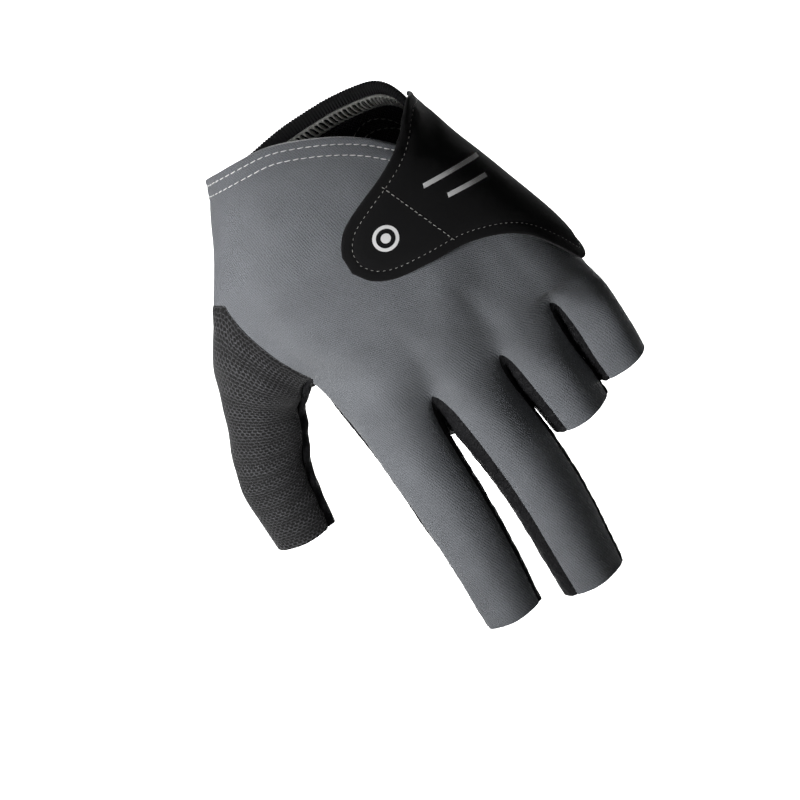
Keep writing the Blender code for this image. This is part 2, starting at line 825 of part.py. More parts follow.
def pad_leather():
    return material_of("black_pad_leather", (0.018, 0.018, 0.020), 0.50)


def add_object(name, points, faces, material):
    mesh = mesh_from(name, points, faces)
    mesh.materials.append(material)
    for polygon in mesh.polygons:
        polygon.use_smooth = True
    item = bpy.data.objects.new(name, mesh)
    bpy.context.collection.objects.link(item)
    return item


def add_cut_piece(surface, name, piece, material, outer=0.0, inner=-CLOTH):
    """One piece of the hand form, between two heights over the form."""
    points, faces = layer(surface, surface.chosen({piece}), outer, inner)
    return add_object(name, points, faces, material)


def add_back_panel(surface):
    """The grey back of the hand and fingers, twice as thick where its wrist edge is folded."""
    hem = set(surface.points_of(surface.chosen({BACK}, {0})))

    def inner(point):
        return -HEM_THICKNESS if point in hem else -CLOTH

    return add_cut_piece(surface, "back_panel", BACK, grey_knit(), inner=inner)


def add_palm_panel(surface):
    return add_cut_piece(surface, "palm_panel", PALM, palm_leather(), inner=-LEATHER)


def add_palm_mesh(surface):
    return add_cut_piece(surface, "palm_mesh", PALM_MESH, palm_mesh_knit())


def add_thumb_mesh_panel(surface):
    return add_cut_piece(surface, "thumb_mesh_panel", THUMB_MESH, thumb_mesh_knit())


def add_thumb_leather_panel(surface):
    material = thumb_leather()
    return add_cut_piece(surface, "thumb_leather_panel", THUMB_LEATHER, material, inner=-LEATHER)


def add_side_strips(surface):
    """The black strips between neighbouring fingers, each running over the saddle between them."""
    for number, strip in enumerate(STRIPS):
        name = "side_strip_%s_%s" % (FINGERS[number]["name"], FINGERS[number + 1]["name"])
        add_cut_piece(surface, name, strip, strip_leather(name), inner=-LEATHER)


def add_wrist_binding(surface):
    """The ribbed elastic round the palm side of the wrist edge, a little proud of the palm."""
    inner = BINDING_PROUD - BINDING_THICKNESS
    return add_cut_piece(surface, "wrist_binding", BINDING, binding_elastic(), BINDING_PROUD, inner)


def add_overlock_seam(surface):
    """The whipped seam edge inside the palm mesh, just below the binding."""
    outer = -CLOTH - LAYER_GAP
    chosen = surface.chosen({PALM_MESH}, {1})
    points, faces = layer(surface, chosen, outer, outer - OVERLOCK_THICKNESS)
    return add_object("overlock_seam", points, faces, overlock_thread())


def add_strap(surface):
    """The flap that is sewn along the little finger side and closes over the back."""
    last = len(STRAP_ROWS) - 1
    grid = strap_grid(surface, 0, last, 0.0, STRAP_COUNT_ALONG, STRAP_COUNT_ACROSS)

    def low(along, _):
        return strap_lift(along * last)

    def high(along, _):
        return strap_lift(along * last) + STRAP_THICKNESS

    points, faces = sheet(grid, low, high)
    return add_object("strap", points, faces, strap_suede())


def add_hook_patch(surface):
    """The hook tape on the underside of the strap's tab."""
    last = len(STRAP_ROWS) - 1 - HOOK_END_INSET
    grid = strap_grid(surface, HOOK_FROM, last, HOOK_SIDE_INSET, HOOK_COUNT, HOOK_COUNT)
    points, faces = even_sheet(grid, LAYER_GAP, HOOK_THICKNESS)
    return add_object("hook_patch", points, faces, hook_tape())


def pad_grid(surface):
    """Places over the palm's outer face, spread over a rounded oval."""
    grid = []
    for a in range(PAD_COUNT):
        across = 2 * a / (PAD_COUNT - 1) - 1
        line = []
        for b in range(PAD_COUNT):
            along = 2 * b / (PAD_COUNT - 1) - 1
            round_across = across * math.sqrt(1 - PAD_ROUNDING * along**2 / 2)
            round_along = along * math.sqrt(1 - PAD_ROUNDING * across**2 / 2)
            x = (PAD_MIDDLE[0] + round_across * PAD_HALF[0]) * HAND_BREADTH
            z = -(PAD_MIDDLE[1] + round_along * PAD_HALF[1]) * PALM_LENGTH
            line.append(surface.landed(Vector((x, PAD_GUESS_Y * HAND_DEPTH, z))))
        grid.append(line)
    return grid


def add_heel_pad(surface):
    """A rounded pad on the little finger side of the palm's heel."""
    points, faces = even_sheet(pad_grid(surface), LAYER_GAP, PAD_THICKNESS)
    return add_object("heel_pad", points, faces, pad_leather())


def main():
    clear_scene()
    surface = Surface(hand_form())
    add_back_panel(surface)
    add_palm_panel(surface)
    add_palm_mesh(surface)
    add_thumb_mesh_panel(surface)
    add_thumb_leather_panel(surface)
    add_side_strips(surface)
    add_wrist_binding(surface)
    add_overlock_seam(surface)
    add_strap(surface)
    add_hook_patch(surface)
    add_heel_pad(surface)


main()
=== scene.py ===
"""Looks of an open-finger billiard glove for the left hand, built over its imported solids.

Metres, +Z up through the wrist opening, fingers towards -Z, the back of the hand towards -Y,
the thumb towards -X. The cloth pieces are cut from one smooth hand form, at a finer division
than the solids, and get their rolled seams, folds, stitches and weave here.
"""

import math

import bpy
import numpy as np
from mathutils import Matrix, Vector
from mathutils.bvhtree import BVHTree
from mathutils.kdtree import KDTree


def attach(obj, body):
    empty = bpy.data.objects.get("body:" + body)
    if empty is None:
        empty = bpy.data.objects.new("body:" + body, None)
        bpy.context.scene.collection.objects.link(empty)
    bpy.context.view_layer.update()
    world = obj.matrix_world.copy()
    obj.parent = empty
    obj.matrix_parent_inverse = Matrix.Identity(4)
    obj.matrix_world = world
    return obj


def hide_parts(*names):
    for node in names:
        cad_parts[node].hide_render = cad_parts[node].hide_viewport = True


bl_info = {
    "name": "Billiard glove",
    "version": (1, 0, 0),
    "blender": (4, 5, 0),
    "location": "View3D > Sidebar > Glove",
    "description": "Builds a left-hand billiard glove with open finger ends over its solids",
    "category": "Add Mesh",
}

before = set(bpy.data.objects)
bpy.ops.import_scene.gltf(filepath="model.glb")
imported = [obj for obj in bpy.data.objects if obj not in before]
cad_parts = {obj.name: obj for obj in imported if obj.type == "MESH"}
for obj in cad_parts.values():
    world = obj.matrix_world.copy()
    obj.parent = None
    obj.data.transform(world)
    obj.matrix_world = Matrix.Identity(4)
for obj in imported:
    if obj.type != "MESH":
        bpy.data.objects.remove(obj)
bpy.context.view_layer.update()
MM = 0.001

# Sizes of the glove on the hand
PALM_LENGTH = 0.090
HAND_BREADTH = 0.090
HAND_DEPTH = 0.040
INDEX_LENGTH = 0.0765
MIDDLE_LENGTH = 0.0796
RING_LENGTH = 0.0340
LITTLE_LENGTH = 0.0322
FINGER_BREADTH = 0.021
THUMB_LENGTH = 0.0526
THUMB_BREADTH = 0.023

# Cloth and clearances
CLOTH = 0.0010
STRAP_THICKNESS = 0.0016
HOOK_THICKNESS = 0.0010
PAD_THICKNESS = 0.0014
LAYER_GAP = 0.0005
BINDING_PROUD = 0.0005

# Passes that fit the smooth form to the tabled points, and its levels of subdivision
FIT_PASSES = 4
SMOOTH_LEVELS = 4

# Sections of the palm from the wrist to the knuckles. along and slant are shares of
# PALM_LENGTH, the x columns shares of HAND_BREADTH, the y columns shares of HAND_DEPTH.
# slant moves the palm side further down than the back; hem says how much of the wrist
# edge's curve the section takes; ridge lifts the back over each finger bone; roll turns
# the section about its middle, in degrees.
PALM_COLUMNS = (
    "along",
    "radial",
    "back_corner",
    "palm_corner",
    "ulnar",
    "back",
    "palm",
    "slant",
    "hem",
    "ridge",
    "roll",
)
PALM_ROWS = (
    (0.000, -0.370, -0.328, -0.322, 0.351, -0.50, 0.50, 0.000, 1.00, 0.000, 0),
    (0.055, -0.387, -0.345, -0.342, 0.366, -0.51, 0.51, 0.000, 0.96, 0.000, 0),
    (0.100, -0.412, -0.372, -0.362, 0.381, -0.52, 0.52, 0.000, 0.80, 0.000, 0),
    (0.215, -0.470, -0.432, -0.408, 0.412, -0.52, 0.52, 0.000, 0.40, 0.000, 1),
    (0.344, -0.547, -0.522, -0.433, 0.456, -0.51, 0.52, 0.000, 0.08, 0.000, 2),
    (0.478, -0.528, -0.502, -0.389, 0.507, -0.50, 0.50, 0.010, 0.00, 0.005, 3),
    (0.612, -0.472, -0.451, -0.344, 0.560, -0.485, 0.44, 0.020, 0.00, 0.010, 5),
    (0.728, -0.386, -0.384, -0.338, 0.598, -0.450, 0.36, 0.050, 0.00, 0.016, 6.5),
    (0.842, -0.351, -0.336, -0.328, 0.622, -0.400, 0.295, 0.100, 0.00, 0.022, 8),
)

# The wrist edge's height above the wrist plane, as shares of PALM_LENGTH, at the cage's
# 20 points around: the back from the thumb side to the little finger side, that side, the
# palm on the way home, and the thumb side. The form counts as wrist edge down to
# WRIST_EDGE_LOWEST.
WRIST_EDGE_BACK = (0.096, 0.117, 0.121, 0.099, 0.063, 0.023, -0.032, -0.101, -0.150)
WRIST_EDGE_ULNAR = -0.080
WRIST_EDGE_PALM = (0.000, 0.020, 0.020, 0.018, 0.012, 0.004, -0.010, -0.020, 0.000)
WRIST_EDGE_RADIAL = 0.050
WRIST_EDGE_LOWEST = -0.3

# Where the edges and middles of the four finger roots lie, as shares of the way from
# the thumb side's corner to the little finger side's corner of a section
ROOT_SHARES = (0.0, 0.138, 0.278, 0.417, 0.556, 0.673, 0.790, 0.895, 1.0)

# The knuckle over each finger root: how far it leans towards the finger's own middle, how
# far it stands out from the finger's half depth, and how much further down the palm side
# lies, as a share of PALM_LENGTH
KNUCKLE_LEAN = 0.35
KNUCKLE_RISE = 1.06
KNUCKLE_PALM_DROP = 0.150

# Finger sections from root to open end. along is a share of the finger's length, x, y
# shares of HAND_BREADTH and HAND_DEPTH, breadth and depth shares of FINGER_BREADTH,
# slant and tilt shares of FINGER_BREADTH: how much further down the palm side is than
# the back, and the little finger side than the thumb side.
FINGER_COLUMNS = ("along", "x", "y", "breadth", "depth", "slant", "tilt")
FINGERS = (
    {
        "name": "index",
        "length": INDEX_LENGTH,
        "root": 0.978,
        "roll": 3,
        "angles": (-50, 0, 62, 92, 128, 180, -128, -80),
        "rows": (
            (0.215, -0.190, -0.09, 1.090, 1.00, 0.43, 0.00),
            (0.395, -0.177, -0.09, 1.040, 0.97, 0.14, 0.00),
            (0.610, -0.166, -0.08, 0.990, 0.94, 0.00, 0.00),
            (0.805, -0.162, -0.06, 0.945, 0.91, 0.00, 0.00),
            (1.000, -0.161, -0.04, 0.872, 0.86, 0.00, 0.00),
        ),
    },
    {
        "name": "middle",
        "length": MIDDLE_LENGTH,
        "root": 0.967,
        "roll": 11,
        "angles": (-52, 0, 70, 98, 128, 180, -128, -90),
        "rows": (
            (0.210, 0.085, -0.12, 1.110, 1.02, 0.43, 0.00),
            (0.395, 0.111, -0.12, 1.100, 0.99, 0.14, 0.00),
            (0.610, 0.128, -0.11, 1.075, 0.97, 0.00, 0.00),
            (0.805, 0.131, -0.09, 1.040, 0.94, 0.00, 0.00),
            (1.000, 0.131, -0.07, 0.975, 0.90, 0.00, 0.00),
        ),
    },
    {
        "name": "ring",
        "length": RING_LENGTH,
        "root": 0.945,
        "roll": 14,
        "angles": (-54, 0, 72, 98, 128, 180, -128, -92),
        "rows": (
            (0.470, 0.329, -0.04, 1.010, 0.96, 0.50, 0.00),
            (0.735, 0.349, -0.03, 0.980, 0.93, 0.20, -0.04),
            (0.985, 0.361, -0.02, 0.930, 0.89, 0.00, -0.09),
        ),
    },
    {
        "name": "little",
        "length": LITTLE_LENGTH,
        "root": 0.885,
        "roll": 18,
        "angles": (-58, 0, 50, 95, 128, 180, -128, -92),
        "rows": (
            (0.460, 0.546, 0.06, 0.890, 0.88, 0.40, 0.00),
            (0.730, 0.555, 0.07, 0.880, 0.86, 0.18, -0.06),
            (1.000, 0.562, 0.08, 0.825, 0.82, 0.00, -0.12),
        ),
    },
)

# The saddles between the finger roots: heights of the back edge, the middle and the
# palm edge below the wrist plane as shares of PALM_LENGTH, and their depth shares.
WEB_COLUMNS = ("back", "middle", "palm", "y_back", "y_palm")
WEBS = (
    (0.967, 1.130, 1.190, -0.300, 0.190),
    (0.960, 1.110, 1.155, -0.280, 0.190),
    (0.893, 1.035, 1.080, -0.190, 0.240),
)

# The outer sides of the two outer finger roots, at the back corner, the side and the palm
# corner: the distance below the wrist plane as a share of PALM_LENGTH, and how far the
# point lies from the finger's own section as a share of HAND_BREADTH.
INDEX_ROOT_SIDE = ((0.960, -0.022), (1.020, -0.010), (1.080, -0.014))
LITTLE_ROOT_SIDE = ((0.925, -0.022), (0.980, -0.004), (1.035, -0.004))

# Thumb sections from its root to the open end. x and y place the middle as shares of
# HAND_BREADTH and HAND_DEPTH, along is a share of THUMB_LENGTH from the root's distance
# below the wrist plane, breadth and depth are shares of THUMB_BREADTH, and turn is the
# angle of the breadth below level.
THUMB_ROOT = 0.688
THUMB_COLUMNS = ("x", "y", "along", "breadth", "depth", "turn")
THUMB_ROWS = (
    (-0.527, 0.20, 0.000, 1.360, 1.30, 51),
    (-0.564, 0.25, 0.161, 1.085, 1.08, 27),
    (-0.599, 0.30, 0.368, 1.045, 1.00, 13),
    (-0.638, 0.32, 0.556, 1.000, 0.96, 4),
    (-0.650, 0.31, 0.736, 0.940, 0.90, 0),
    (-0.652, 0.28, 1.000, 0.813, 0.80, 0),
)
THUMB_ANGLES = (35, 72, 108, 145, 180, 215, 252, 288, 325, 0)

# The palm sections between which the thumb opens, and the one where the palm mesh ends
THUMB_FIRST_ROW = 4
THUMB_LAST_ROW = 7
MESH_END_ROW = 4

# The strap's sections from its sewn end round the little finger side to the rounded tab:
# the upper edge's x, y, z and the lower edge's x, y, z, as shares of HAND_BREADTH,
# HAND_DEPTH and PALM_LENGTH.
STRAP_ROWS = (
    (0.358, 0.24, -0.045, 0.590, 0.22, -0.790),
    (0.378, 0.10, -0.038, 0.625, 0.08, -0.828),
    (0.381, -0.05, -0.025, 0.628, -0.02, -0.836),
    (0.361, -0.22, -0.010, 0.606, -0.10, -0.812),
    (0.312, -0.38, -0.036, 0.556, -0.20, -0.728),
    (0.268, -0.46, -0.078, 0.484, -0.30, -0.624),
    (0.213, -0.52, -0.112, 0.405, -0.40, -0.559),
    (0.133, -0.56, -0.155, 0.290, -0.50, -0.516),
    (0.042, -0.58, -0.198, 0.157, -0.56, -0.506),
    (-0.036, -0.59, -0.243, 0.033, -0.58, -0.494),
    (-0.077, -0.58, -0.290, -0.045, -0.58, -0.459),
    (-0.096, -0.58, -0.335, -0.092, -0.58, -0.400),
)

# The hook patch under the tab: the strap section that it starts at, and its insets from
# the tab's end, in sections, and from its long edges, as a share of the strap's width
HOOK_FROM = 7.1
HOOK_END_INSET = 0.9
HOOK_SIDE_INSET = 0.11

# The heel pad's middle and half sizes across and down, as shares of HAND_BREADTH and
# PALM_LENGTH, and how round its corners are
PAD_MIDDLE = (0.235, 0.350)
PAD_HALF = (0.150, 0.225)
PAD_ROUNDING = 0.75
PAD_GUESS_Y = 0.60

# How far above the wrist plane the form is carried on to guide the strap
COLLAR_TOP = 0.24 * PALM_LENGTH

# The pieces that the hand form is cut into
(
    BACK,
    PALM,
    PALM_MESH,
    THUMB_MESH,
    THUMB_LEATHER,
    INDEX_MIDDLE_STRIP,
    MIDDLE_RING_STRIP,
    RING_LITTLE_STRIP,
    BINDING,
) = range(9)
STRIPS = (INDEX_MIDDLE_STRIP, MIDDLE_RING_STRIP, RING_LITTLE_STRIP)


def row_of(columns, values):
    return dict(zip(columns, values))


def section_y(share, depth):
    """The height of a flattened oval section at a share of its half breadth."""
    roundness = 2.4
    return depth * (1 - min(abs(share), 1.0) ** roundness) ** (1 / roundness)


def wrist_edge(slot):
    """How far the wrist edge stands above the wrist plane at one of the 20 points around."""
    if slot <= 8:
        share = WRIST_EDGE_BACK[slot]
    elif slot == 9:
        share = WRIST_EDGE_ULNAR
    elif slot <= 18:
        share = WRIST_EDGE_PALM[slot - 10]
    else:
        share = WRIST_EDGE_RADIAL
    return share * PALM_LENGTH


def turned(x, y, degrees, centre_x):
    """A point of a section turned about the section's middle, little finger side away from -Y."""
    angle = math.radians(degrees)
    dx = x - centre_x
    turned_x = centre_x + dx * math.cos(angle) - y * math.sin(angle)
    turned_y = dx * math.sin(angle) + y * math.cos(angle)
    return turned_x, turned_y


def palm_point(row, slot):
    """One of the 20 points of a palm section: 0 to 8 the back, 9 the little finger side,
    10 to 18 the palm on the way home, 19 the thumb side."""
    radial = row["radial"] * HAND_BREADTH
    ulnar = row["ulnar"] * HAND_BREADTH
    centre = (radial + ulnar) / 2
    half = (ulnar - radial) / 2
    ulnar_corner = centre + 0.9 * half
    if slot == 9 or slot == 19:
        x = ulnar if slot == 9 else radial
        y = 0.0
        side = 0.5
    elif slot < 9:
        first = row["back_corner"] * HAND_BREADTH
        x = first + (ulnar_corner - first) * ROOT_SHARES[slot]
        y = section_y((x - centre) / half, row["back"] * HAND_DEPTH)
        if slot % 2:
            y -= row["ridge"] * HAND_DEPTH
        side = 0.0
    else:
        first = row["palm_corner"] * HAND_BREADTH
        x = first + (ulnar_corner - first) * ROOT_SHARES[18 - slot]
        y = section_y((x - centre) / half, row["palm"] * HAND_DEPTH)
        side = 1.0
    x, y = turned(x, y, row["roll"], centre)
    z = wrist_edge(slot) * row["hem"] - (row["along"] + row["slant"] * side) * PALM_LENGTH
    return (x, y, z)


def finger_point(finger, row, slot):
    """One of the 8 points of a finger section, at its angle from the back's middle."""
    angle = math.radians(finger["angles"][slot])
    roll = math.radians(finger["roll"])
    half_breadth = row["breadth"] * FINGER_BREADTH / 2
    half_depth = row["depth"] * FINGER_BREADTH / 2
    across = half_breadth * math.sin(angle)
    outward = -half_depth * math.cos(angle)
    x = row["x"] * HAND_BREADTH + across * math.cos(roll) - outward * math.sin(roll)
    y = row["y"] * HAND_DEPTH + across * math.sin(roll) + outward * math.cos(roll)
    down = finger["root"] * PALM_LENGTH + row["along"] * finger["length"]
    down -= row["slant"] * FINGER_BREADTH * math.cos(angle) / 2
    down += row["tilt"] * FINGER_BREADTH * math.sin(angle) / 2
    return (x, y, -down)


def thumb_point(row, slot):
    """One of the 10 points of a thumb section, from its outer side over the back."""
    angle = math.radians(THUMB_ANGLES[slot])
    turn = math.radians(row["turn"])
    across = -row["breadth"] * THUMB_BREADTH / 2 * math.cos(angle)
    x = row["x"] * HAND_BREADTH + across * math.cos(turn)
    y = row["y"] * HAND_DEPTH - row["depth"] * THUMB_BREADTH / 2 * math.sin(angle)
    down = THUMB_ROOT * PALM_LENGTH + row["along"] * THUMB_LENGTH + across * math.sin(turn)
    return (x, y, -down)


def root_row():
    """The points where the palm meets the fingers: 20 around it and 3 web middles."""
    points = {}
    for number, finger in enumerate(FINGERS):
        first = row_of(FINGER_COLUMNS, finger["rows"][0])
        half_depth = first["depth"] * FINGER_BREADTH / 2
        y = first["y"] * HAND_DEPTH
        middle = number * 2 + 1
        last_palm = row_of(PALM_COLUMNS, PALM_ROWS[-1])
        span = palm_point(last_palm, 8)[0] - palm_point(last_palm, 0)[0]
        x = palm_point(last_palm, 0)[0] + span * ROOT_SHARES[middle]
        x += KNUCKLE_LEAN * (first["x"] * HAND_BREADTH - x)
        down = finger["root"] * PALM_LENGTH
        palm_down = down + KNUCKLE_PALM_DROP * PALM_LENGTH
        points[middle] = (x, y - half_depth * KNUCKLE_RISE, -down)
        points[18 - middle] = (x, y + half_depth * KNUCKLE_RISE, -palm_down)
    for number, values in enumerate(WEBS):
        web = row_of(WEB_COLUMNS, values)
        slot = number * 2 + 2
        before = row_of(FINGER_COLUMNS, FINGERS[number]["rows"][0])
        after = row_of(FINGER_COLUMNS, FINGERS[number + 1]["rows"][0])
        right = before["x"] * HAND_BREADTH + before["breadth"] * FINGER_BREADTH / 2
        left = after["x"] * HAND_BREADTH - after["breadth"] * FINGER_BREADTH / 2
        x = (left + right) / 2
        points[slot] = (x, web["y_back"] * HAND_DEPTH, -web["back"] * PALM_LENGTH)
        points[18 - slot] = (x, web["y_palm"] * HAND_DEPTH, -web["palm"] * PALM_LENGTH)
        middle_y = (web["y_back"] + web["y_palm"]) / 2 * HAND_DEPTH
        points["web%d" % number] = (x, middle_y, -web["middle"] * PALM_LENGTH)
    outer_roots = (
        (FINGERS[0], INDEX_ROOT_SIDE, (0, 19, 18), (0, 7, 6)),
        (FINGERS[-1], LITTLE_ROOT_SIDE, (8, 9, 10), (2, 3, 4)),
    )
    for finger, heights, slots, own_slots in outer_roots:
        first = row_of(FINGER_COLUMNS, finger["rows"][0])
        for slot, own, (height, outward) in zip(slots, own_slots, heights):
            x, y, _ = finger_point(finger, first, own)
            points[slot] = (x + outward * HAND_BREADTH, y, -height * PALM_LENGTH)
    return points


def finger_loop(number):
    """The root row's 8 points that a finger grows from, in the order of its own sections."""
    before = 19 if number == 0 else "web%d" % (number - 1)
    after = 9 if number == 3 else "web%d" % number
    top = number * 2
    return (top, top + 1, top + 2, after, 16 - top, 17 - top, 18 - top, before)


def palm_label(row, slot):
    """Which piece the palm's face between two points around belongs to."""
    if slot < 9 or slot == 19 or (slot == 18 and row < THUMB_FIRST_ROW):
        return BACK
    if row == 0:
        return BINDING
    return PALM_MESH if row < MESH_END_ROW else PALM


def finger_label(number, slot):
    if slot in (0, 1):
        return BACK
    if slot in (4, 5):
        return PALM
    if slot in (2, 3):
        if number == 3:
            return BACK if slot == 2 else PALM
        return STRIPS[number]
    if number == 0:
        return BACK if slot == 7 else PALM
    return STRIPS[number - 1]


def thumb_label(slot):
    return THUMB_LEATHER if slot in (3, 4, 5, 6, 7) else THUMB_MESH


def palm_across(row):
    """How far each of a palm section's points lies from the back's middle, measured around it
    towards the little finger, as 20 lengths that count down from the palm's middle."""
    places = [Vector(palm_point(row, slot)) for slot in range(20)]
    across = [0.0] * 20
    for slot in range(5, 15):
        across[slot] = across[slot - 1] + (places[slot] - places[slot - 1]).length
    before = 4
    for slot in (3, 2, 1, 0, 19, 18, 17, 16, 15):
        across[slot] = across[before] - (places[slot] - places[before]).length
        before = slot
    return across


def loop_across(places, start):
    """The same for a ring of points round a finger, from its second point, which lies at start."""
    count = len(places)
    across = [start] * count
    for slot in range(2, count // 2 + 2):
        across[slot] = across[slot - 1] + (places[slot] - places[slot - 1]).length
    before = 1
    for slot in (0, *range(count - 1, count // 2 + 1, -1)):
        across[slot] = across[before] - (places[slot] - places[before]).length
        before = slot
    return across


def unwrapped(values, girth):
    """A face's four lengths around, with those beyond the closing line carried on past it."""
    if max(values) - min(values) < girth / 2:
        return values
    return [value + girth if value < max(values) - girth / 2 else value for value in values]


def hand_cage():
    """The whole hand form as quads: its points, its faces, each face's piece and row, and how
    the cloth lies on it: each face corner's lengths across and along the weave."""
    points = []
    index = {}
    faces = []
    labels = []
    rows = []
    weave = []

    def add_point(key, place):
        index[key] = len(points)
        points.append(place)

    def add_face(keys, label, row, across, along):
        faces.append([index[key] for key in keys])
        labels.append(label)
        rows.append(row)
        weave.append(list(zip(across, along)))

    def add_ring(before, now, row, label, lengths, starts):
        """The faces between two rings of a finger or the thumb."""
        count = len(now)
        rings = []
        for keys, start in ((before, starts[0]), (now, starts[1])):
            places = [Vector(points[index[key]]) for key in keys]
            girth = sum((places[slot] - places[slot - 1]).length for slot in range(count))
            rings.append((loop_across(places, start), girth))
        for slot in range(count):
            after = (slot + 1) % count
            keys = (before[slot], now[slot], now[after], before[after])
            (old, _), (new, girth) = rings
            across = unwrapped([old[slot], new[slot], new[after], old[after]], girth)
            along = (lengths[0], lengths[1], lengths[1], lengths[0])
            add_face(keys, label(slot), row, across, along)

    last = len(PALM_ROWS)
    for number, values in enumerate(PALM_ROWS):
        row = row_of(PALM_COLUMNS, values)
        for slot in range(20):
            if slot == 19 and THUMB_FIRST_ROW < number < THUMB_LAST_ROW:
                continue
            add_point((number, slot), palm_point(row, slot))
    for slot, place in root_row().items():
        add_point((last, slot), place)
    palm_weave = [palm_across(row_of(PALM_COLUMNS, values)) for values in PALM_ROWS]
    palm_weave.append(palm_weave[-1])
    for number in range(last):
        for slot in range(20):
            after = (slot + 1) % 20
            if slot in (18, 19) and THUMB_FIRST_ROW <= number < THUMB_LAST_ROW:
                continue
            keys = ((number, slot), (number + 1, slot), (number + 1, after), (number, after))
            old, new = palm_weave[number : number + 2]
            girth = 2.2 * (HAND_BREADTH + HAND_DEPTH)
            across = unwrapped([old[slot], new[slot], new[after], old[after]], girth)
            along = [-points[index[key]][2] for key in keys]
            add_face(keys, palm_label(number, slot), number, across, along)
    for number, finger in enumerate(FINGERS):
        middle = palm_weave[-1][2 * number + 1]
        length = finger["root"] * PALM_LENGTH
        before = [(last, slot) for slot in finger_loop(number)]
        for station, values in enumerate(finger["rows"]):
            row = row_of(FINGER_COLUMNS, values)
            now = [("finger", number, station, slot) for slot in range(8)]
            for slot in range(8):
                add_point(now[slot], finger_point(finger, row, slot))
            reached = finger["root"] * PALM_LENGTH + row["along"] * finger["length"]

            def label(slot, number=number):
                return finger_label(number, slot)

            add_ring(before, now, last + station, label, (length, reached), (middle, middle))
            before = now
            length = reached
    dorsal = [(row, 0) for row in range(THUMB_FIRST_ROW, THUMB_LAST_ROW + 1)]
    palmar = [(row, 18) for row in range(THUMB_LAST_ROW, THUMB_FIRST_ROW - 1, -1)]
    before = dorsal + [(THUMB_LAST_ROW, 19)] + palmar + [(THUMB_FIRST_ROW, 19)]
    length = 0.0
    for station, values in enumerate(THUMB_ROWS):
        row = row_of(THUMB_COLUMNS, values)
        now = [("thumb", station, slot) for slot in range(10)]
        for slot in range(10):
            add_point(now[slot], thumb_point(row, slot))
        reached = THUMB_LENGTH * (0.2 + row["along"])
        add_ring(before, now, last + station, thumb_label, (length, reached), (0.0, 0.0))
        before = now
        length = reached
    return np.array(points), faces, labels, rows, weave


def smooth_weights(count, faces):
    """For each cage point, the weights that give its place on the smooth surface."""
    edge_uses = {}
    for face in faces:
        for corner in range(4):
            edge = tuple(sorted((face[corner], face[(corner + 1) % 4])))
            edge_uses[edge] = edge_uses.get(edge, 0) + 1
    rim = {}
    joined = {}
    for (first, second), uses in edge_uses.items():
        joined.setdefault(first, set()).add(second)
        joined.setdefault(second, set()).add(first)
        if uses == 1:
            rim.setdefault(first, []).append(second)
            rim.setdefault(second, []).append(first)
    weights = np.zeros((count, count))
    for point, near in joined.items():
        if point in rim:
            weights[point, point] = 4 / 6
            for other in rim[point]:
                weights[point, other] += 1 / 6
            continue
        valence = len(near)
        whole = valence * (valence + 5)
        weights[point, point] = valence * valence / whole
        for other in near:
            weights[point, other] = 4 / whole
    for face in faces:
        for corner in range(4):
            point = face[corner]
            if point not in rim:
                valence = len(joined[point])
                weights[point, face[(corner + 2) % 4]] += 1 / (valence * (valence + 5))
    return weights


def fitted(points, faces):
    """The cage pushed out until the smooth surface runs through the tabled points."""
    weights = smooth_weights(len(points), faces)
    cage = points.copy()
    for _ in range(FIT_PASSES):
        cage += points - weights @ cage
    return cage


# Sizes of the seams and hems, in metres, and the seed of all chance values
SEAM_ROLL = 1.7 * MM
HEM_WIDTH = 6.6 * MM
BINDING_WIDTH = 3.4 * MM
NARROWEST_TAPE = 10.4 * MM
TUCKED_FROM = 1.5 * MM
SEED = 7


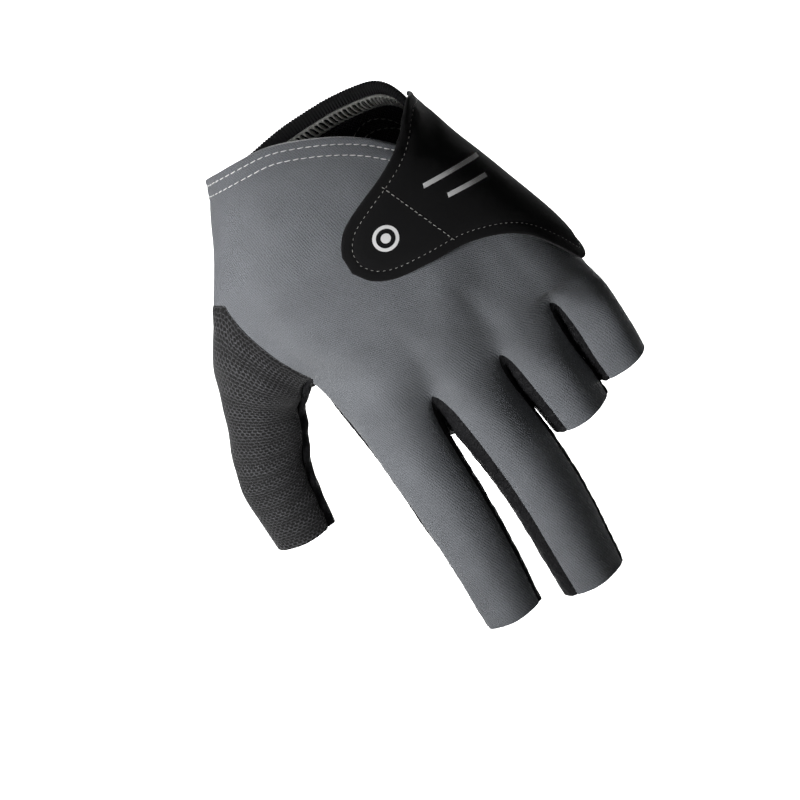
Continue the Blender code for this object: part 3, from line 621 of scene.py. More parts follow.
class Form:
    """The fine hand form as arrays: points, outward normals, quads, and each quad's piece, row
    and place in the weave."""

    def __init__(self):
        points, faces, labels, rows, weave = hand_cage()
        mesh = bpy.data.meshes.new("hand_cage")
        mesh.from_pydata([tuple(point) for point in fitted(points, faces)], [], faces)
        for name, values in (("piece", labels), ("row", rows)):
            mesh.attributes.new(name, "INT", "FACE").data.foreach_set("value", values)
        mesh.uv_layers.new(name="weave").data.foreach_set("uv", np.array(weave).ravel())
        item = bpy.data.objects.new("hand_cage", mesh)
        bpy.context.scene.collection.objects.link(item)
        smooth = item.modifiers.new("smooth", "SUBSURF")
        smooth.levels = SMOOTH_LEVELS
        smooth.render_levels = SMOOTH_LEVELS
        graph = bpy.context.evaluated_depsgraph_get()
        fine = bpy.data.meshes.new_from_object(item.evaluated_get(graph), depsgraph=graph)
        self.points = read(fine.vertices, "co", 3)
        self.normals = read(fine.vertices, "normal", 3)
        self.quads = read(fine.loops, "vertex_index", 4, int)
        self.weave = read(fine.uv_layers["weave"].data, "uv", 2).reshape(-1, 4, 2)
        self.piece = read(fine.attributes["piece"].data, "value", 1, int)[:, 0]
        self.row = read(fine.attributes["row"].data, "value", 1, int)[:, 0]
        bpy.data.objects.remove(item, do_unlink=True)
        bpy.data.meshes.remove(mesh)
        bpy.data.meshes.remove(fine)
        self.edges, self.uses = np.unique(edge_keys(self.quads), return_counts=True)
        self.grow_collar()
        self.tuck_in(BINDING, TUCKED_FROM)

    def tuck_in(self, covered, depth):
        """Carries the cloth beside an edging on under it, up to a depth from the open edge."""
        centres = self.points[self.quads].mean(axis=1)
        starts, ends = self.rim_edges()
        rim = (self.points[starts] + self.points[ends]) / 2
        away = nearest(centres, rim)[0]
        hidden = (self.piece == covered) & (away > depth)
        others = np.flatnonzero(self.piece != covered)
        neighbour = nearest(centres[hidden], centres[others])[1]
        self.piece[hidden] = self.piece[others[neighbour]]

    def grow_collar(self):
        """Carries the form on above the wrist edge, for the strap's end that reaches past it."""
        starts, ends = self.rim_edges()
        heights = np.minimum(self.points[starts, 2], self.points[ends, 2])
        wrist = heights > WRIST_EDGE_LOWEST * PALM_LENGTH
        starts, ends = starts[wrist], ends[wrist]
        used, local = np.unique(np.concatenate([starts, ends]), return_inverse=True)
        raised = self.points[used].copy()
        raised[:, 2] = COLLAR_TOP
        first = len(self.points) + local[: len(starts)]
        second = len(self.points) + local[len(starts) :]
        collar = np.stack([starts, ends, second, first], axis=1)
        self.all_points = np.concatenate([self.points, raised])
        self.all_normals = np.concatenate([self.normals, self.normals[used]])
        self.all_quads = np.concatenate([self.quads, collar])
        self.tree = BVHTree.FromPolygons(self.all_points.tolist(), self.all_quads.tolist())

    def rim_edges(self):
        starts = self.quads.ravel()
        ends = np.roll(self.quads, -1, axis=1).ravel()
        uses = self.uses[np.searchsorted(self.edges, edge_keys(self.quads))]
        return starts[uses == 1], ends[uses == 1]

    def landed(self, guess):
        """The nearest place on the form, with its smooth outward normal."""
        place, _, number, _ = self.tree.find_nearest(guess)
        corners = self.all_quads[number]
        near = np.linalg.norm(self.all_points[corners] - np.array(place), axis=1)
        normal = (self.all_normals[corners] / (near + 0.2 * MM)[:, None]).sum(axis=0)
        return place, Vector(normal).normalized()


def read(items, name, width, kind=float):
    values = np.empty(len(items) * (1 if name == "vertex_index" else width), kind)
    items.foreach_get(name, values)
    return values.reshape(-1, width)


def edge_keys(quads):
    starts = quads.ravel().astype(np.int64)
    ends = np.roll(quads, -1, axis=1).ravel().astype(np.int64)
    return np.minimum(starts, ends) * 10_000_000 + np.maximum(starts, ends)


def nearest(points, targets):
    """Each point's distance to the nearest target, and that target's number."""
    tree = KDTree(len(targets))
    for number, target in enumerate(targets):
        tree.insert(target, number)
    tree.balance()
    found = [tree.find(point) for point in points]
    return np.array([item[2] for item in found]), np.array([item[1] for item in found])


def chained(starts, ends):
    """Directed edges joined end to end into the longest lists of points."""
    following = dict(zip(starts.tolist(), ends.tolist()))
    targets = set(following.values())
    heads = [point for point in following if point not in targets]
    lines = []
    while following:
        point = heads.pop() if heads else next(iter(following))
        line = [point]
        while point in following:
            point = following.pop(point)
            line.append(point)
        lines.append(line)
    return lines


class Cut:
    """One cloth piece of the form, with its distances to seams and to open edges."""

    def __init__(self, form, piece, rows=None):
        wanted = form.piece == piece
        if rows is not None:
            wanted &= np.isin(form.row, rows)
        quads = form.quads[wanted]
        used, local = np.unique(quads, return_inverse=True)
        self.quads = local.reshape(-1, 4)
        self.points = form.points[used]
        self.normals = form.normals[used]
        self.corner_weave = form.weave[wanted]
        sums = np.zeros((len(used), 2))
        counts = np.zeros(len(used))
        np.add.at(sums, self.quads.ravel(), self.corner_weave.reshape(-1, 2))
        np.add.at(counts, self.quads.ravel(), 1)
        self.weave = sums / counts[:, None]
        own, inverse, uses = np.unique(
            edge_keys(self.quads), return_inverse=True, return_counts=True
        )
        border = uses[inverse.ravel()] == 1
        self.starts = self.quads.ravel()[border]
        self.ends = np.roll(self.quads, -1, axis=1).ravel()[border]
        whole = edge_keys(quads)[border]
        self.open = form.uses[np.searchsorted(form.edges, whole)] == 1
        far = np.full(len(used), 1.0)
        self.seam_distance = far
        self.rim_distance = far
        self.seam_along = np.zeros(len(used))
        if (~self.open).any():
            seams = []
            along = []
            for line in chained(self.starts[~self.open], self.ends[~self.open]):
                places = self.points[line]
                seams.append(places)
                along.append(lengths_along(places))
            distance, number = nearest(self.points, np.concatenate(seams))
            self.seam_distance = distance
            self.seam_along = np.concatenate(along)[number]
        if self.open.any():
            rim = np.unique([self.starts[self.open], self.ends[self.open]])
            self.rim_distance = nearest(self.points, self.points[rim])[0]

    def lines(self, is_open):
        """The border's runs of open edges, or of seams, as lists of point numbers."""
        wanted = self.open if is_open else ~self.open
        return chained(self.starts[wanted], self.ends[wanted])

    def wrist_line(self):
        """The open edge at the wrist, as places and normals in order."""
        for line in sorted(self.lines(True), key=len, reverse=True):
            if self.points[line, 2].min() > WRIST_EDGE_LOWEST * PALM_LENGTH:
                return self.points[line], self.normals[line]
        raise RuntimeError("this piece has no edge at the wrist")


def lengths_along(places):
    steps = np.linalg.norm(np.diff(places, axis=0), axis=1)
    return np.concatenate([[0.0], np.cumsum(steps)])


def smooth_step(values):
    values = np.clip(values, 0.0, 1.0)
    return values * values * (3 - 2 * values)


def bell(values, width):
    return np.exp(-((values / width) ** 2))


def ripple(places, wavelength, seed):
    """A smooth uneven field between about -1 and 1 over the places."""
    random = np.random.default_rng(seed)
    total = np.zeros(len(places))
    for _ in range(5):
        direction = random.normal(size=3)
        direction /= np.linalg.norm(direction)
        pace = 2 * math.pi / (wavelength * random.uniform(0.7, 1.5))
        total += np.sin(places @ direction * pace + random.uniform(0, 2 * math.pi))
    return total / 2.6


def show(obj, material, replaced=()):
    """Finishes a piece: its material, its place in the part and its solids."""
    obj.data.materials.append(material)
    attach(obj, "root")
    if replaced:
        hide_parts(*replaced)
    return obj


def quad_object(name, points, quads, weave=None, sharp=55):
    """A mesh object of quads, smooth but for edges sharper than the angle in degrees."""
    mesh = bpy.data.meshes.new(name)
    mesh.vertices.add(len(points))
    mesh.vertices.foreach_set("co", np.asarray(points, float).ravel())
    mesh.loops.add(len(quads) * 4)
    mesh.loops.foreach_set("vertex_index", np.asarray(quads, np.int32).ravel())
    mesh.polygons.add(len(quads))
    mesh.polygons.foreach_set("loop_start", np.arange(len(quads), dtype=np.int32) * 4)
    if weave is not None:
        mesh.uv_layers.new(name="weave").data.foreach_set("uv", np.asarray(weave, float).ravel())
    mesh.update(calc_edges=True)
    mesh.polygons.foreach_set("use_smooth", np.ones(len(quads), bool))
    mesh.set_sharp_from_angle(angle=math.radians(sharp))
    obj = bpy.data.objects.new(name, mesh)
    bpy.context.scene.collection.objects.link(obj)
    return obj


def layered(name, cut, outer, inner):
    """A closed cloth layer over a cut piece, between two heights over the form."""
    count = len(cut.points)
    tops = cut.points + cut.normals * np.reshape(outer, (-1, 1))
    bottoms = cut.points + cut.normals * np.reshape(inner, (-1, 1))
    walls = np.stack([cut.ends, cut.starts, cut.starts + count, cut.ends + count], axis=1)
    quads = np.concatenate([cut.quads, cut.quads[:, ::-1] + count, walls])
    wall_weave = cut.weave[walls % count]
    weave = np.concatenate([cut.corner_weave, cut.corner_weave[:, ::-1], wall_weave])
    return quad_object(name, np.concatenate([tops, bottoms]), quads, weave)


def outer_area(obj):
    """Half of a thin closed piece's surface, which is the area that its cloth was cut to."""
    return sum(polygon.area for polygon in obj.data.polygons) / 2


def declare_cloth(obj, weave):
    """Works out the flat size of a cloth piece from its lengths across and along the weave, but neither
    keeps nor returns it.
    """
    size = weave.max(axis=0) - weave.min(axis=0)
    width, length = max(float(size[0]), NARROWEST_TAPE), float(size[1])
    area = outer_area(obj)
    grow = max(1.0, math.sqrt(area / (width * length)))
    flat = (width * grow, length * grow)
    area = max(area, 0.31 * flat[0] * flat[1])


class Threads:
    """Round threads gathered into one mesh."""

    def __init__(self):
        self.points = []
        self.quads = []
        self.caps = []

    def add(self, path, radii, sides=6, closed=False):
        """One thread along a path, with a radius at each of its points."""
        path = np.asarray(path, float)
        radii = np.broadcast_to(np.asarray(radii, float), (len(path),))
        if closed:
            ahead = np.roll(path, -1, axis=0) - np.roll(path, 1, axis=0)
        else:
            ahead = np.gradient(path, axis=0)
        ahead /= np.linalg.norm(ahead, axis=1)[:, None]
        side = np.cross(ahead[0], (0.31, 0.52, 0.79))
        first = len(self.points)
        for place, direction, radius in zip(path, ahead, radii):
            side = side - direction * (side @ direction)
            side /= np.linalg.norm(side)
            up = np.cross(direction, side)
            for turn in range(sides):
                angle = 2 * math.pi * turn / sides
                self.points.append(place + radius * (side * math.cos(angle) + up * math.sin(angle)))
        rings = len(path)
        for ring in range(rings if closed else rings - 1):
            now = first + ring * sides
            then = first + (ring + 1) % rings * sides
            for turn in range(sides):
                after = (turn + 1) % sides
                self.quads.append((now + turn, now + after, then + after, then + turn))
        if not closed:
            last = first + (rings - 1) * sides
            self.caps.append([first + turn for turn in reversed(range(sides))])
            self.caps.append([last + turn for turn in range(sides)])

    def build(self, name):
        mesh = bpy.data.meshes.new(name)
        faces = [tuple(face) for face in self.quads + self.caps]
        mesh.from_pydata([tuple(point) for point in self.points], [], faces)
        mesh.polygons.foreach_set("use_smooth", np.ones(len(faces), bool))
        mesh.set_sharp_from_angle(angle=math.radians(70))
        obj = bpy.data.objects.new(name, mesh)
        bpy.context.scene.collection.objects.link(obj)
        return obj


def sampled(line, length):
    """The place at a length along a polyline."""
    places, along = line
    return np.array([np.interp(length, along, places[:, axis]) for axis in range(3)])


def stitch_row(threads, places, normals, long, gap, radius, random, sink=0.75, start=0.0):
    """A row of stitches along a line on the cloth: each rises out of it and dips back in."""
    along = lengths_along(places)
    line = (places, along)
    raised = (normals, along)
    step = long + gap
    reach = start
    while reach + long < along[-1]:
        begin = reach + random.uniform(-0.04, 0.04) * step
        sway = random.uniform(-0.10, 0.10) * radius
        lean = random.uniform(0.6, 1.2) * radius
        path = []
        for share in (0.0, 0.12, 0.3, 0.5, 0.7, 0.88, 1.0):
            length = begin + long * share
            place = sampled(line, length)
            normal = sampled(raised, length)
            normal /= np.linalg.norm(normal)
            height = radius * (sink - 1.9 * abs(2 * share - 1) ** 3)
            ahead = sampled(line, length + 0.1 * MM) - sampled(line, length - 0.1 * MM)
            side = np.cross(normal, ahead)
            side *= lean * (share - 0.5) / max(np.linalg.norm(side), 1e-9)
            path.append(place + side + normal * (height + sway))
        sizes = radius * np.array([0.55, 0.85, 1.0, 1.05, 1.0, 0.85, 0.55])
        threads.add(path, sizes)
        reach += step


def tree_of(obj):
    """A search tree over an object's mesh, for laying threads on it."""
    points = read(obj.data.vertices, "co", 3)
    quads = [tuple(polygon.vertices) for polygon in obj.data.polygons]
    return BVHTree.FromPolygons(points.tolist(), quads)


def laid_on(tree, places, normals, reach=4 * MM):
    """Places moved along their normals onto the first surface of the tree."""
    laid = []
    for place, normal in zip(places, normals):
        start = Vector(place + normal * reach)
        hit = tree.ray_cast(start, -Vector(normal), 2 * reach)
        laid.append(np.array(hit[0]) if hit[0] is not None else place)
    return np.array(laid)


def smoothed(values, passes=4):
    values = np.array(values, float)
    for _ in range(passes):
        values[1:-1] = (values[:-2] + 2 * values[1:-1] + values[2:]) / 4
    return values


def resampled(places, step):
    along = lengths_along(places)
    count = max(2, int(along[-1] / step) + 1)
    wanted = np.linspace(0.0, along[-1], count)
    return np.stack([np.interp(wanted, along, places[:, axis]) for axis in range(3)], axis=1)


def inset_line(places, normals, distance, tree):
    """A line that runs inside a border at a distance, laid on the cloth."""
    ahead = np.gradient(places, axis=0)
    ahead /= np.linalg.norm(ahead, axis=1)[:, None]
    inward = np.cross(normals, ahead)
    inward /= np.linalg.norm(inward, axis=1)[:, None]
    moved = smoothed(places + inward * distance)
    return laid_on(tree, moved, normals), normals


class Finish:
    """A material whose nodes work from the weave's lengths, in millimetres."""

    def __init__(self, name, colour, roughness, specular=0.3):
        self.material = bpy.data.materials.new(name)
        self.material.use_nodes = True
        self.tree = self.material.node_tree
        self.shader = self.tree.nodes["Principled BSDF"]
        self.shader.inputs["Base Color"].default_value = (*colour, 1.0)
        self.shader.inputs["Roughness"].default_value = roughness
        self.shader.inputs["Specular IOR Level"].default_value = specular
        self.colour = colour

    def node(self, kind, **inputs):
        node = self.tree.nodes.new("ShaderNode" + kind)
        for name, value in inputs.items():
            self.give(node, name.replace("_", " ").title(), value)
        return node

    def give(self, node, name, value):
        socket = node.inputs[name]
        if isinstance(value, bpy.types.NodeSocket):
            self.tree.links.new(value, socket)
        else:
            socket.default_value = value

    def math(self, operation, *values):
        node = self.tree.nodes.new("ShaderNodeMath")
        node.operation = operation
        for socket, value in zip(node.inputs, values):
            if isinstance(value, bpy.types.NodeSocket):
                self.tree.links.new(value, socket)
            else:
                socket.default_value = value
        return node.outputs[0]

    def lengths(self):
        """The weave's lengths across and along, in millimetres."""
        place = self.tree.nodes.new("ShaderNodeUVMap")
        place.uv_map = "weave"
        split = self.tree.nodes.new("ShaderNodeSeparateXYZ")
        self.tree.links.new(place.outputs[0], split.inputs[0])
        return self.math("MULTIPLY", split.outputs[0], 1000.0), self.math(
            "MULTIPLY", split.outputs[1], 1000.0
        )

    def level_lengths(self):
        """The lengths to the right and up in the part, in millimetres."""
        split = self.tree.nodes.new("ShaderNodeSeparateXYZ")
        self.tree.links.new(self.solid_place(), split.inputs[0])
        return split.outputs[0], split.outputs[2]

    def joined(self, across, along):
        node = self.tree.nodes.new("ShaderNodeCombineXYZ")
        self.tree.links.new(across, node.inputs[0])
        self.tree.links.new(along, node.inputs[1])
        return node.outputs[0]

    def solid_place(self):
        """The place in the part, in millimetres, for patterns that need no weave."""
        place = self.tree.nodes.new("ShaderNodeTexCoord").outputs["Object"]
        node = self.tree.nodes.new("ShaderNodeVectorMath")
        node.operation = "SCALE"
        self.tree.links.new(place, node.inputs[0])
        node.inputs["Scale"].default_value = 1000.0
        return node.outputs[0]

    def noise(self, place, period, detail=3.0, roughness=0.55):
        node = self.tree.nodes.new("ShaderNodeTexNoise")
        self.tree.links.new(place, node.inputs["Vector"])
        node.inputs["Scale"].default_value = 1.0 / period
        node.inputs["Detail"].default_value = detail
        node.inputs["Roughness"].default_value = roughness
        return node.outputs["Fac"]

    def cells(self, place, period, feature="F1"):
        node = self.tree.nodes.new("ShaderNodeTexVoronoi")
        node.feature = feature
        self.tree.links.new(place, node.inputs["Vector"])
        node.inputs["Scale"].default_value = 1.0 / period
        return node.outputs["Distance"]

    def wave(self, lengths, across, along, period):
        """A sine from 0 to 1 that runs in the direction given, with its period in millimetres."""
        pace = 2 * math.pi / period
        first = self.math("MULTIPLY", lengths[0], across * pace)
        second = self.math("MULTIPLY", lengths[1], along * pace)
        turn = self.math("SINE", self.math("ADD", first, second))
        return self.math("MULTIPLY_ADD", turn, 0.5, 0.5)

    def between(self, value, low, high, to_low=0.0, to_high=1.0):
        node = self.tree.nodes.new("ShaderNodeMapRange")
        node.interpolation_type = "SMOOTHSTEP"
        self.tree.links.new(value, node.inputs["Value"])
        for name, number in zip(("From Min", "From Max", "To Min", "To Max"), (low, high, to_low, to_high)):
            node.inputs[name].default_value = number
        return node.outputs["Result"]

    def tint(self, share, dark, light):
        """The base colour runs from dark to light times its own value with the share."""
        node = self.tree.nodes.new("ShaderNodeMix")
        node.data_type = "RGBA"
        self.tree.links.new(share, node.inputs["Factor"])
        node.inputs["A"].default_value = (*[part * dark for part in self.colour], 1.0)
        node.inputs["B"].default_value = (*[part * light for part in self.colour], 1.0)
        self.tree.links.new(node.outputs["Result"], self.shader.inputs["Base Color"])

    def rough(self, share, low, high):
        result = self.between(share, 0.0, 1.0, low, high)
        self.tree.links.new(result, self.shader.inputs["Roughness"])

    def bump(self, *heights):
        """Relief from pairs of a height and its depth in millimetres."""
        normal = None
        for height, depth in heights:
            node = self.tree.nodes.new("ShaderNodeBump")
            node.inputs["Strength"].default_value = 1.0
            node.inputs["Distance"].default_value = depth * MM
            self.tree.links.new(height, node.inputs["Height"])
            if normal is not None:
                self.tree.links.new(normal, node.inputs["Normal"])
            normal = node.outputs["Normal"]
        self.tree.links.new(normal, self.shader.inputs["Normal"])

    def sheen(self, weight, roughness=0.5):
        self.shader.inputs["Sheen Weight"].default_value = weight
        self.shader.inputs["Sheen Roughness"].default_value = roughness


def stretch_knit(colour, looks):
    """Fine grey knit: slanting wales, faint courses and an uneven tone."""
    finish = Finish("grey_stretch_knit", colour, 0.62, 0.35)
    lengths = finish.lengths()
    place = finish.joined(*lengths)
    drift = finish.math("MULTIPLY", finish.noise(place, 1.1, 2.0), 0.9)
    swayed = (finish.math("ADD", lengths[0], drift), lengths[1])
    wales = finish.wave(swayed, 0.918, -0.395, looks.knit_pitch / MM)
    courses = finish.wave(lengths, 0.395, 0.918, looks.knit_pitch / MM * 0.8)
    grain = finish.between(finish.noise(place, 0.34, 2.0), 0.30, 0.70)
    cloud = finish.noise(place, 9.0, 2.0)
    loops = finish.math("MULTIPLY", wales, finish.math("MULTIPLY_ADD", courses, 0.4, 0.6))
    mixed = finish.math("ADD", finish.math("MULTIPLY", loops, 0.40), finish.math("MULTIPLY", grain, 0.60))
    shade = finish.math("MULTIPLY_ADD", cloud, 0.25, finish.math("MULTIPLY", mixed, 0.75))
    finish.tint(shade, 0.50, 1.55)
    finish.rough(grain, 0.52, 0.72)
    finish.bump((cloud, 0.25), (loops, 0.10), (grain, 0.10))
    finish.sheen(0.25, 0.4)
    return finish.material


def open_mesh(name, colour, looks, scale=1.0, thread_and_highlight_gain=3.8, level=False):
    """Black mesh knit: rows of small slots, each row shifted by half a slot. On a level piece
    the rows follow the part's own axes instead of the weave. The threads carry a painted
    highlight: a lighter diagonal band across each thread, mixed with random grain, and the
    gain sets how light the threads and this painted highlight get."""
    finish = Finish(name, colour, 0.7, 0.35)
    across, along = finish.level_lengths() if level else finish.lengths()
    wobble = finish.noise(finish.joined(across, along), 2.4, 1.0)
    across = finish.math("MULTIPLY_ADD", wobble, 0.9, across)
    along = finish.math("MULTIPLY_ADD", wobble, -0.6, along)
    pitch = looks.mesh_pitch / MM * scale
    rows = finish.math("MULTIPLY", along, 2.0 / pitch)
    shift = finish.math("MULTIPLY", finish.math("FLOOR", rows), 0.5)
    turns = finish.math("MULTIPLY_ADD", across, 1.0 / pitch, shift)
    beside = finish.math("SUBTRACT", finish.math("FRACT", turns), 0.5)
    below = finish.math("SUBTRACT", finish.math("FRACT", rows), 0.5)
    wide = finish.math("POWER", finish.math("MULTIPLY", beside, 2.6), 2.0)
    tall = finish.math("POWER", finish.math("MULTIPLY", below, 2.5), 2.0)
    threads = finish.between(finish.math("ADD", wide, tall), 0.75, 1.50)
    slope = finish.math("MULTIPLY", finish.math("ABSOLUTE", beside), 9.0)
    # painted highlight: a sine band across each thread that lightens its colour; it also gives a faint
    # relief
    strand_and_painted_highlight = finish.math("MULTIPLY_ADD", finish.math("SINE", finish.math("ADD", slope, rows)), 0.5, 0.5)
    grain = finish.noise(finish.joined(across, along), 0.28, 2.0)
    patchy = finish.between(grain, 0.40, 0.66)
    # the threads' tone: the painted highlight band mixed with random grain
    painted_highlight_and_grain = finish.math("MULTIPLY_ADD", strand_and_painted_highlight, 0.35, finish.math("MULTIPLY", patchy, 0.65))
    lit = finish.math("MULTIPLY", threads, painted_highlight_and_grain)
    # the threads' colour is lighter where the painted highlight falls, and the slots stay dark
    finish.tint(finish.math("POWER", lit, 1.5), 0.03, thread_and_highlight_gain)
    finish.bump((threads, 0.30), (strand_and_painted_highlight, 0.08), (grain, 0.08))
    finish.sheen(0.15, 0.5)
    return finish.material


def soft_leather(name, colour, roughness=0.62, grain=0.9, depth=0.10, specular=0.16):
    """Thin synthetic leather with a pebbled grain and fine creases."""
    finish = Finish(name, colour, roughness, specular)
    place = finish.solid_place()
    pebbles = finish.cells(place, grain)
    creases = finish.cells(place, grain * 2.3, "DISTANCE_TO_EDGE")
    cloud = finish.noise(place, 6.0)
    fine = finish.noise(place, 0.35)
    worn = finish.math("MULTIPLY_ADD", cloud, 0.6, finish.math("MULTIPLY", pebbles, 0.5))
    finish.tint(worn, 0.6, 1.7)
    finish.rough(cloud, roughness - 0.12, roughness + 0.14)
    finish.bump((cloud, 0.2), (finish.between(creases, 0.0, 0.12), depth), (pebbles, -depth), (fine, 0.02))
    return finish.material


def brushed_cloth(colour):
    """Dense brushed black cloth of the strap."""
    finish = Finish("black_strap_suede", colour, 0.85, 0.12)
    lengths = finish.lengths()
    place = finish.joined(*lengths)
    nap = finish.noise(place, 0.25, 3.0, 0.7)
    cloud = finish.noise(place, 12.0, 3.0)
    finish.tint(finish.math("MULTIPLY_ADD", cloud, 0.5, finish.math("MULTIPLY", nap, 0.5)), 0.55, 1.6)
    finish.bump((cloud, 0.35), (nap, 0.08))
    finish.sheen(0.06, 0.6)
    return finish.material


def ribbed_elastic(colour):
    finish = Finish("black_ribbed_elastic", colour, 0.75, 0.25)
    lengths = finish.lengths()
    place = finish.joined(*lengths)
    strands = finish.wave(lengths, 1.0, 0.0, 0.36)
    grain = finish.noise(place, 0.22, 2.0)
    finish.tint(finish.math("MULTIPLY", strands, grain), 0.6, 2.2)
    finish.bump((strands, 0.06), (grain, 0.05))
    return finish.material


def twisted_thread(name, colour, roughness=0.6):
    finish = Finish(name, colour, roughness, 0.35)
    place = finish.solid_place()
    fibres = finish.noise(place, 0.12, 2.0)
    tone = finish.noise(place, 3.0, 1.0)
    finish.tint(finish.math("MULTIPLY_ADD", tone, 0.5, finish.math("MULTIPLY", fibres, 0.5)), 0.75, 1.2)
    finish.bump((fibres, 0.04),)
    finish.sheen(0.2)
    return finish.material


def printed_white(colour):
    """Thin white print that sinks a little into the nap."""
    finish = Finish("white_strap_print", colour, 0.55, 0.4)
    place = finish.solid_place()
    speck = finish.noise(place, 0.3, 3.0)
    finish.tint(speck, 0.9, 1.03)
    finish.bump((speck, 0.03),)
    return finish.material


def pale_floor(colour):
    finish = Finish("pale_floor", colour, 0.9, 0.1)
    finish.tint(finish.noise(finish.solid_place(), 400.0), 0.99, 1.01)
    return finish.material


class GloveSizes(bpy.types.PropertyGroup):
    """Sizes of the stitches, threads and weaves."""

    stitch_length: bpy.props.FloatProperty(
        name="Hem stitch length",
        description="Length of each white stitch in the hem",
        default=2.05 * MM,
        min=0.5 * MM,
        unit="LENGTH",
        subtype="DISTANCE",
    )
    stitch_gap: bpy.props.FloatProperty(
        name="Hem stitch gap",
        description="Gap between two white stitches in the hem",
        default=0.45 * MM,
        min=0.1 * MM,
        unit="LENGTH",
        subtype="DISTANCE",
    )
    thread_radius: bpy.props.FloatProperty(
        name="Thread radius",
        description="Radius of the hem's sewing thread",
        default=0.17 * MM,
        min=0.05 * MM,
        unit="LENGTH",
        subtype="DISTANCE",
    )
    knit_pitch: bpy.props.FloatProperty(
        name="Knit pitch",
        description="Distance between two wales of the grey knit",
        default=0.72 * MM,
        min=0.2 * MM,
        unit="LENGTH",
        subtype="DISTANCE",
    )
    mesh_pitch: bpy.props.FloatProperty(
        name="Mesh pitch",
        description="Distance between two holes in a row of the thumb's mesh",
        default=1.7 * MM,
        min=0.5 * MM,
        unit="LENGTH",
        subtype="DISTANCE",
    )
    seam_dip: bpy.props.FloatProperty(
        name="Seam dip",
        description="How deep the cloth dips at a seam",
        default=0.55 * MM,
        min=0.0,
        unit="LENGTH",
        subtype="DISTANCE",
    )
    rib_pitch: bpy.props.FloatProperty(
        name="Elastic rib pitch",
        description="Distance between two ribs of the wrist elastic",
        default=1.0 * MM,
        min=0.3 * MM,
        unit="LENGTH",
        subtype="DISTANCE",
    )


def colour_property(name, description, default):
    return bpy.props.FloatVectorProperty(
        name=name,
        description=description,
        default=default,
        min=0.0,
        max=1.0,
        size=3,
        subtype="COLOR",
    )


class GloveColours(bpy.types.PropertyGroup):
    """Base colours of the cloths, leathers and threads."""

    knit: colour_property("Knit", "Grey knit of the back", (0.175, 0.184, 0.200))
    leather: colour_property("Leather", "Black leather of the palm and strips", (0.010, 0.010, 0.011))
    mesh: colour_property("Mesh", "Black mesh of the thumb and heel", (0.034, 0.034, 0.037))
    strap: colour_property("Strap", "Black brushed cloth of the strap", (0.0045, 0.0045, 0.0050))
    elastic: colour_property("Elastic", "Black elastic at the wrist", (0.008, 0.008, 0.009))
    white: colour_property("White thread", "Hem thread and the strap's print", (0.90, 0.90, 0.90))
    grey: colour_property("Grey thread", "Strap thread and the whipped seam", (0.38, 0.38, 0.36))
    floor: colour_property("Floor", "Floor under the glove", (0.93, 0.93, 0.93))


def looks_of(context):
    return context.scene.glove_sizes, context.scene.glove_colours


# Soft folds of the back, as places on it across and down, the fold's direction in degrees
# from across, its half length, its half width and its height, all lengths in millimetres
BACK_FOLDS = (
    (-38.0, -52.0, 60.0, 16.0, 3.0, -0.45),
    (-30.0, -66.0, 35.0, 14.0, 2.6, 0.40),
    (-33.0, -84.0, 20.0, 11.0, 2.2, -0.35),
    (-3.0, -74.0, 82.0, 15.0, 3.4, -0.55),
    (20.0, -70.0, 80.0, 14.0, 3.2, -0.60),
    (37.0, -62.0, 76.0, 12.0, 3.0, -0.45),
    (8.0, -56.0, 8.0, 20.0, 3.0, 0.35),
    (-14.0, -30.0, -12.0, 18.0, 4.0, 0.30),
    (11.0, -60.0, 106.0, 18.0, 6.0, 0.40),
    (24.5, -66.0, 106.0, 19.0, 8.0, -1.60),
)


def fold_height(points, folds):
    total = np.zeros(len(points))
    for x, z, degrees, half_length, half_width, height in folds:
        angle = math.radians(degrees)
        dx = points[:, 0] / MM - x
        dz = points[:, 2] / MM - z
        along = dx * math.cos(angle) - dz * math.sin(angle)
        across = dx * math.sin(angle) + dz * math.cos(angle)
        total += height * MM * bell(along, half_length) * bell(across, half_width)
    return total


def seam_height(cut, sizes, roll=SEAM_ROLL, pucker=0.30, period=4.6 * MM, seed=SEED, dip=1.0):
    """How the cloth rolls down into its seams, and puckers between the stitches there."""
    share = smooth_step(1 - cut.seam_distance / roll)
    height = -sizes.seam_dip * dip * share
    wave = np.sin(2 * math.pi * cut.seam_along / period + 1.5 * ripple(cut.points, 11 * MM, seed))
    height += pucker * 0.5 * MM * wave * bell(cut.seam_distance - 1.2 * MM, 1.6 * MM)
    return height


